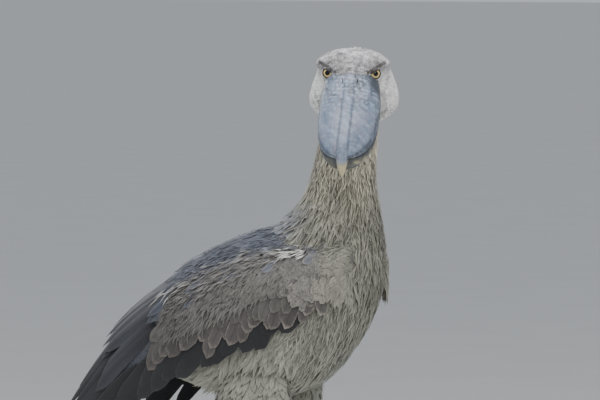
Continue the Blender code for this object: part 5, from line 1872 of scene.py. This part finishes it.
def make_eye(name):
    """A ball with a clear bulge over the iris."""
    axis = gaze(name)
    across, up = level_frame(axis)
    centre = eye_middle(name)
    radius = EYE_RADIUS - EYE_CLEARANCE
    angles = np.concatenate([np.linspace(0.02, 0.75, 26), np.linspace(0.80, math.pi - 0.02, 30)])
    turns = full_turn(64)
    circle = np.cos(turns)[:, None] * across + np.sin(turns)[:, None] * up
    reach = radius - BALL_INSET + BULGE_HEIGHT * (1 - ease(angles, 0.35, 0.72))
    rings = [
        centre + axis * math.cos(angle) * far + circle * math.sin(angle) * far
        for angle, far in zip(angles, reach)
    ]
    made = object_from(lofted(f"eyeball_{name}", rings), f"eyeball_{name}")
    local = (points_of(made.data) - centre) / radius
    side = np.stack([local @ across, local @ up], axis=-1)
    turned = np.arccos(np.clip(local @ axis, -1, 1))[:, None] / IRIS_ANGLE
    map_points(made.data, "Eye", unit(side) * turned)
    made.data.shade_smooth()
    return finish_piece(made, EYE_FINISH, "eye", f"eye_{name}")


# Half the angle of the eye's opening, how high over the middle of the gaze the brow's straight
# edge cuts it, and the brow's slope down towards the bill
LID_OPENING = 0.72
BROW_EDGE = 0.0032
BROW_SLOPE = 0.50
LID_THICKNESS = 0.0011
LID_END = 1.02
# Shares of the way from the lid's rim to its outer end
LID_SHARES = (0.0, 0.06, 0.14, 0.28, 0.50, 0.75, 1.0)


def make_lids(name):
    """The skin round one eye, whose brow cuts the opening in a slanting line."""
    axis = eye_direction(name)
    centre = eye_middle(name)
    sight, _, brow = brow_frame(name)
    across, up = level_frame(sight)
    rings = []
    for turn in full_turn(96):
        out = across * math.cos(turn) + up * math.sin(turn)
        lift = float(out @ brow)
        cut_at = math.asin(min(1.0, BROW_EDGE / (EYE_RADIUS * max(lift, 0.2))))
        opening = -math.log(math.exp(-14 * LID_OPENING) + math.exp(-14 * cut_at)) / 14
        rim = sight * math.cos(opening) + out * math.sin(opening)
        away = unit(out - axis * float(out @ axis))
        end = axis * math.cos(LID_END) + away * math.sin(LID_END)
        hood = max(0.0, lift) ** 2
        outer, inner = [], []
        for share in LID_SHARES:
            heading = unit(rim * (1 - share) + end * share)
            full = LID_THICKNESS * (1 + 0.9 * hood) * min(1.0, 0.35 + 9 * share)
            outer.append(centre + heading * (EYE_RADIUS + full * (1 - 0.5 * share)))
            inner.append(centre + heading * (EYE_RADIUS - 0.0010 * share - 0.0001))
        rings.append(outer + inner[::-1])
    rings = np.array(rings)
    count, sides = rings.shape[:2]
    faces = []
    for i in range(count):
        a, b = i * sides, ((i + 1) % count) * sides
        for j in range(sides):
            after = (j + 1) % sides
            faces.append((a + j, b + j, b + after, a + after))
    mesh = mesh_from("lids", rings.reshape(-1, 3), faces)
    shape = bmesh.new()
    shape.from_mesh(mesh)
    bmesh.ops.recalc_face_normals(shape, faces=shape.faces)
    shape.to_mesh(mesh)
    shape.free()
    mesh.shade_smooth()
    points = rings.reshape(-1, 3)
    radial = points - centre
    radial = unit(radial - (radial @ sight)[:, None] * sight)
    # The dark rim reaches further on the brow's side: painted shadow under the brow.
    lift = np.clip(1.4 * (radial @ brow), 0, 1)
    reach = np.linalg.norm(points - np.repeat(rings[:, 0], sides, axis=0), axis=1)
    share = ease(reach, 0.0004 + 0.0030 * lift, 0.0014 + 0.0072 * lift)
    paint(mesh, "Tint", toward(LID_RIM_AND_BROW_SHADOW, head_tint(points) * 0.85, share))
    return finish_piece(object_from(mesh, f"lids_{name}"), LID_FINISH, "plumage_grey")


def limb_rings(points, widths, sides=40):
    points = np.asarray(points, float)
    slopes = unit(np.gradient(points, axis=0))
    turns = full_turn(sides)
    rings = []
    for point, along, (across, deep) in zip(points, slopes, widths):
        right = np.cross(along, (1.0, 0.0, 0.0))
        if np.linalg.norm(right) < 0.2:
            right = np.cross(along, (0.0, 1.0, 0.0))
        right = unit(right)
        ahead = np.cross(right, along)
        rings.append(point + np.cos(turns)[:, None] * across * right
                     + np.sin(turns)[:, None] * deep * ahead)
    return np.array(rings) + SHIFT


TOES = {
    "inner": (0.118, math.radians(38)),
    "middle": (0.165, math.radians(0)),
    "outer": (0.135, math.radians(-36)),
    "hind": (0.080, math.radians(172)),
}
TOE_RADIUS = 0.0092
TOE_FALL = 0.24
PALM_RADIUS = 0.0160
PALM_HEIGHT = 0.0118
CLAW_LENGTH = 0.020
CLAW_THICKNESS = 0.0048
CLAW_ARCH = 0.0030
CLAW_DROP = 0.0068
LEG_VOXEL = 0.0013
# The legs' scales: the least gap between them, their size, their number to a square metre
# before the gap thins them out, and how much they differ in size
SCUTE_GAP = 0.0042
SCUTE_SIZE = 0.0024
SCUTE_DENSITY = 90000.0
SCUTE_SPREAD = (0.82, 1.08)


def scute_tree():
    """Spreads flat domed scales over a limb, and turns them with its surface."""
    tree = bpy.data.node_groups.new("scutes", "GeometryNodeTree")
    kinds = {"Geometry": "Geometry", "Gap": "Float", "Size": "Float", "Material": "Material"}
    for key, kind in kinds.items():
        tree.interface.new_socket(key, in_out="INPUT", socket_type=f"NodeSocket{kind}")
    tree.interface.new_socket("Geometry", in_out="OUTPUT", socket_type="NodeSocketGeometry")
    web = Web(tree)
    given, result = web.add("NodeGroupInput").outputs, web.add("NodeGroupOutput").inputs
    inputs = {"Mesh": given["Geometry"], "Distance Min": given["Gap"], "Density Max": SCUTE_DENSITY,
              "Seed": 5}
    kind = "GeometryNodeDistributePointsOnFaces"
    spread = web.add(kind, inputs, distribute_method="POISSON").outputs
    inputs = {"Vertices": 7, "Side Segments": 1, "Radius Top": 0.55, "Radius Bottom": 1.0,
              "Depth": 0.35}
    scale = web.add("GeometryNodeMeshCone", inputs).outputs["Mesh"]
    inputs = {2: SCUTE_SPREAD[0], 3: SCUTE_SPREAD[1], "Seed": 9}
    grown = web.times(web.add("FunctionNodeRandomValue", inputs).outputs[1], given["Size"])
    inputs = {"Points": spread["Points"], "Rotation": spread["Rotation"], "Instance": scale,
              "Scale": grown}
    put = web.add("GeometryNodeInstanceOnPoints", inputs).outputs["Instances"]
    real = web.add("GeometryNodeRealizeInstances", {"Geometry": put}).outputs["Geometry"]
    inputs = {"Geometry": real, "Material": given["Material"]}
    web.feed(result["Geometry"], web.add("GeometryNodeSetMaterial", inputs).outputs["Geometry"])
    return tree


def scutes(name, mesh, material, slot):
    made = object_from(mesh.copy(), name)
    modifier = made.modifiers.new("scutes", "NODES")
    modifier.node_group = SCUTES
    sockets = {item.name: item.identifier for item in SCUTES.interface.items_tree
               if item.item_type == "SOCKET" and item.in_out == "INPUT"}
    modifier[sockets["Gap"]] = SCUTE_GAP
    modifier[sockets["Size"]] = SCUTE_SIZE
    modifier[sockets["Material"]] = material
    evaluated(made)
    points = points_of(made.data)
    points[:, 2] = np.maximum(points[:, 2], 0.0001)
    set_points(made.data, points)
    made.data.shade_smooth()
    made.data.set_sharp_from_angle(angle=math.radians(40))
    return finish_piece(made, material, slot)


def shank_mesh(cuff, hock, foot):
    """Shin and tarsus, from inside the trousers over the hock to the foot."""
    start = cuff + (hock - cuff) * -0.10
    stops = [start + (hock - start) * share for share in SHIN_SHARES]
    stops += [hock + (foot - hock) * share for share in TARSUS_SHARES]
    places = np.linspace(0, len(stops) - 1, 110)
    return lofted("shank", limb_rings(rows_at(stops, places), rows_at(SHANK_WIDTHS, places)))


def palm_mesh(foot):
    """The flat ball of the foot."""
    turns = full_turn(32)
    middle = foot * (1, 1, 0) + (0, 0, PALM_HEIGHT) + SHIFT
    rings = []
    for a in np.linspace(0.05, math.pi - 0.05, 16):
        height = np.full(32, 0.70 * math.cos(a))
        ring = np.stack([math.sin(a) * np.cos(turns), math.sin(a) * np.sin(turns), height], axis=-1)
        rings.append(middle + PALM_RADIUS * ring)
    return lofted("palm", rings)


def toe_mesh(toe, foot, length, ahead):
    """A padded toe that comes down from the palm to the floor, and the point it ends at."""
    shares = np.linspace(0, 1, 60)
    line = foot + shares[:, None] * length * ahead
    fall = ease(shares, 0, TOE_FALL)
    line[:, 2] = FOOT_HEIGHT * 0.55 * (1 - fall) + TOE_RADIUS * 0.80 * fall
    pads = 1 + 0.13 * np.cos(shares * math.pi * 7)
    taper = 1 - 0.38 * shares
    widths = np.stack([TOE_RADIUS * pads * taper, TOE_RADIUS * taper * 0.98], axis=-1)
    return lofted(f"toe_{toe}", limb_rings(line, widths, 28)), line[-1]


def make_leg(name):
    """One leg and foot as one skin with its scales over it, and the four claws."""
    side = SIDES[name]
    _, cuff, hock, foot = leg_line(side, name)
    parts = [shank_mesh(cuff, hock, foot), palm_mesh(foot)]
    for toe, (length, spread) in TOES.items():
        ahead = np.array([math.cos(-side * spread), math.sin(-side * spread), 0.0])
        mesh, end = toe_mesh(toe, foot, length, ahead)
        parts.append(mesh)
        make_claw(f"claw_{name}_{toe}", end, ahead)
    leg = melted(f"leg_{name}", parts, LEG_VOXEL, 4)
    points = points_of(leg.data)
    floor = points[:, 2] < 0.0012
    points[floor, 2] = 0.0003 + 0.0006 * points[floor, 2]
    points[:, 2] = np.maximum(points[:, 2], 0.0002)
    set_points(leg.data, points)
    leg.data.shade_smooth()
    finish_piece(leg, LEG_FINISH, "leg_skin", f"shank_{name}", f"foot_{name}")
    return scutes(f"scutes_{name}", leg.data, SCUTE_FINISH, "leg_skin")


def make_claw(node, end, ahead):
    across = np.cross(ahead, (0.0, 0.0, 1.0))
    turns = full_turn(24)
    rings = []
    for share in np.linspace(-0.12, 1, 30):
        centre = end + SHIFT + ahead * (0.0003 + CLAW_LENGTH * share)
        centre[2] = end[2] + CLAW_ARCH * share - CLAW_DROP * share**2
        thick = CLAW_THICKNESS * math.sqrt(max(1 - share, 0.0)) * (1 - 0.45 * share) + 0.0002
        wide = 0.78 * np.cos(turns)[:, None] * across
        ring = centre + thick * (wide + np.sin(turns)[:, None] * UP)
        ring[:, 2] = np.maximum(ring[:, 2], 0.0003)
        rings.append(ring)
    made = object_from(lofted(f"{node}_horn", rings), f"{node}_horn")
    made.data.shade_smooth()
    return finish_piece(made, CLAW_FINISH, "claw_horn", node)


CAMERA_TURN = math.radians(26)
CAMERA_RISE = math.radians(3)
CAMERA_AIM = np.array((0.0, 0.0, 0.8946))
CAMERA_DISTANCE = 9.0
CAMERA_LENS = 300
CAMERA_SENSOR = 36


def placed(name, data, place, away):
    """Puts a camera or a lamp in the scene, so that it looks back along a way."""
    made = bpy.data.objects.new(name, data)
    bpy.context.scene.collection.objects.link(made)
    made.location = place
    made.rotation_euler = Vector(away).to_track_quat("Z", "Y").to_euler()
    return made


def make_camera():
    lens = bpy.data.cameras.new("camera")
    lens.lens = CAMERA_LENS
    lens.sensor_width = CAMERA_SENSOR
    flat = math.cos(CAMERA_RISE)
    x, y = math.sin(CAMERA_TURN) * flat, -math.cos(CAMERA_TURN) * flat
    back = np.array([x, y, math.sin(CAMERA_RISE)])
    place = CAMERA_AIM + SHIFT + back * CAMERA_DISTANCE
    bpy.context.scene.camera = placed("camera", lens, place, back)


# The soft round lamps: name, place, width, power and tint. All look at the bird's middle.
LAMPS = [
    ("sky", (0.3, -0.8, 4.2), 3.6, 150, (0.97, 0.98, 1.0)),
    ("key", (2.6, -3.4, 3.0), 2.2, 70, (1.0, 0.985, 0.96)),
    ("rim", (-2.8, 2.4, 2.6), 2.0, 40, (1.0, 1.0, 1.0)),
]
LAMP_AIM = Vector((0, 0, 0.75))
FLOOR_REACH = 90
STUDIO_TINT = (0.80, 0.84, 0.90, 1)
STUDIO_STRENGTH = 0.62


def soft_light(name, place, size, power, tint):
    lamp = bpy.data.lights.new(name, "AREA")
    lamp.shape = "DISK"
    lamp.size = size
    lamp.energy = power
    lamp.color = tint
    placed(name, lamp, Vector(place), Vector(place) - LAMP_AIM)


def make_stage():
    r = FLOOR_REACH
    corners = [(-r, -r, 0), (r, -r, 0), (r, r, 0), (-r, r, 0)]
    floor = object_from(mesh_from("floor", corners, [(0, 1, 2, 3)]), "floor")
    floor.data.materials.append(floor_finish())
    world = bpy.data.worlds.new("studio")
    world.use_nodes = True
    studio = world.node_tree.nodes["Background"].inputs
    studio["Color"].default_value = STUDIO_TINT
    studio["Strength"].default_value = STUDIO_STRENGTH
    bpy.context.scene.world = world
    for lamp in LAMPS:
        soft_light(*lamp)


EYE_FINISH = eye_finish()
LID_FINISH = lid_finish()
LEG_FINISH = bare_skin_finish("dark leg skin", "3c3b3d", "4b4949", "232225", 60.0, 0.55, 0.0006)
SCUTE_FINISH = bare_skin_finish("leg scales", "4a494b", "5a5857", "2e2d30", 90.0, 0.5, 0.0003)
CLAW_FINISH = bare_skin_finish("claw horn", "2a2725", "3c3733", "161514", 120.0, 0.35, 0.0002)
SCUTES = scute_tree()

make_camera()
make_stage()
make_skin()
make_coat()
make_bill()
for name in SIDES:
    make_eye(name)
    make_lids(name)
    make_leg(name)
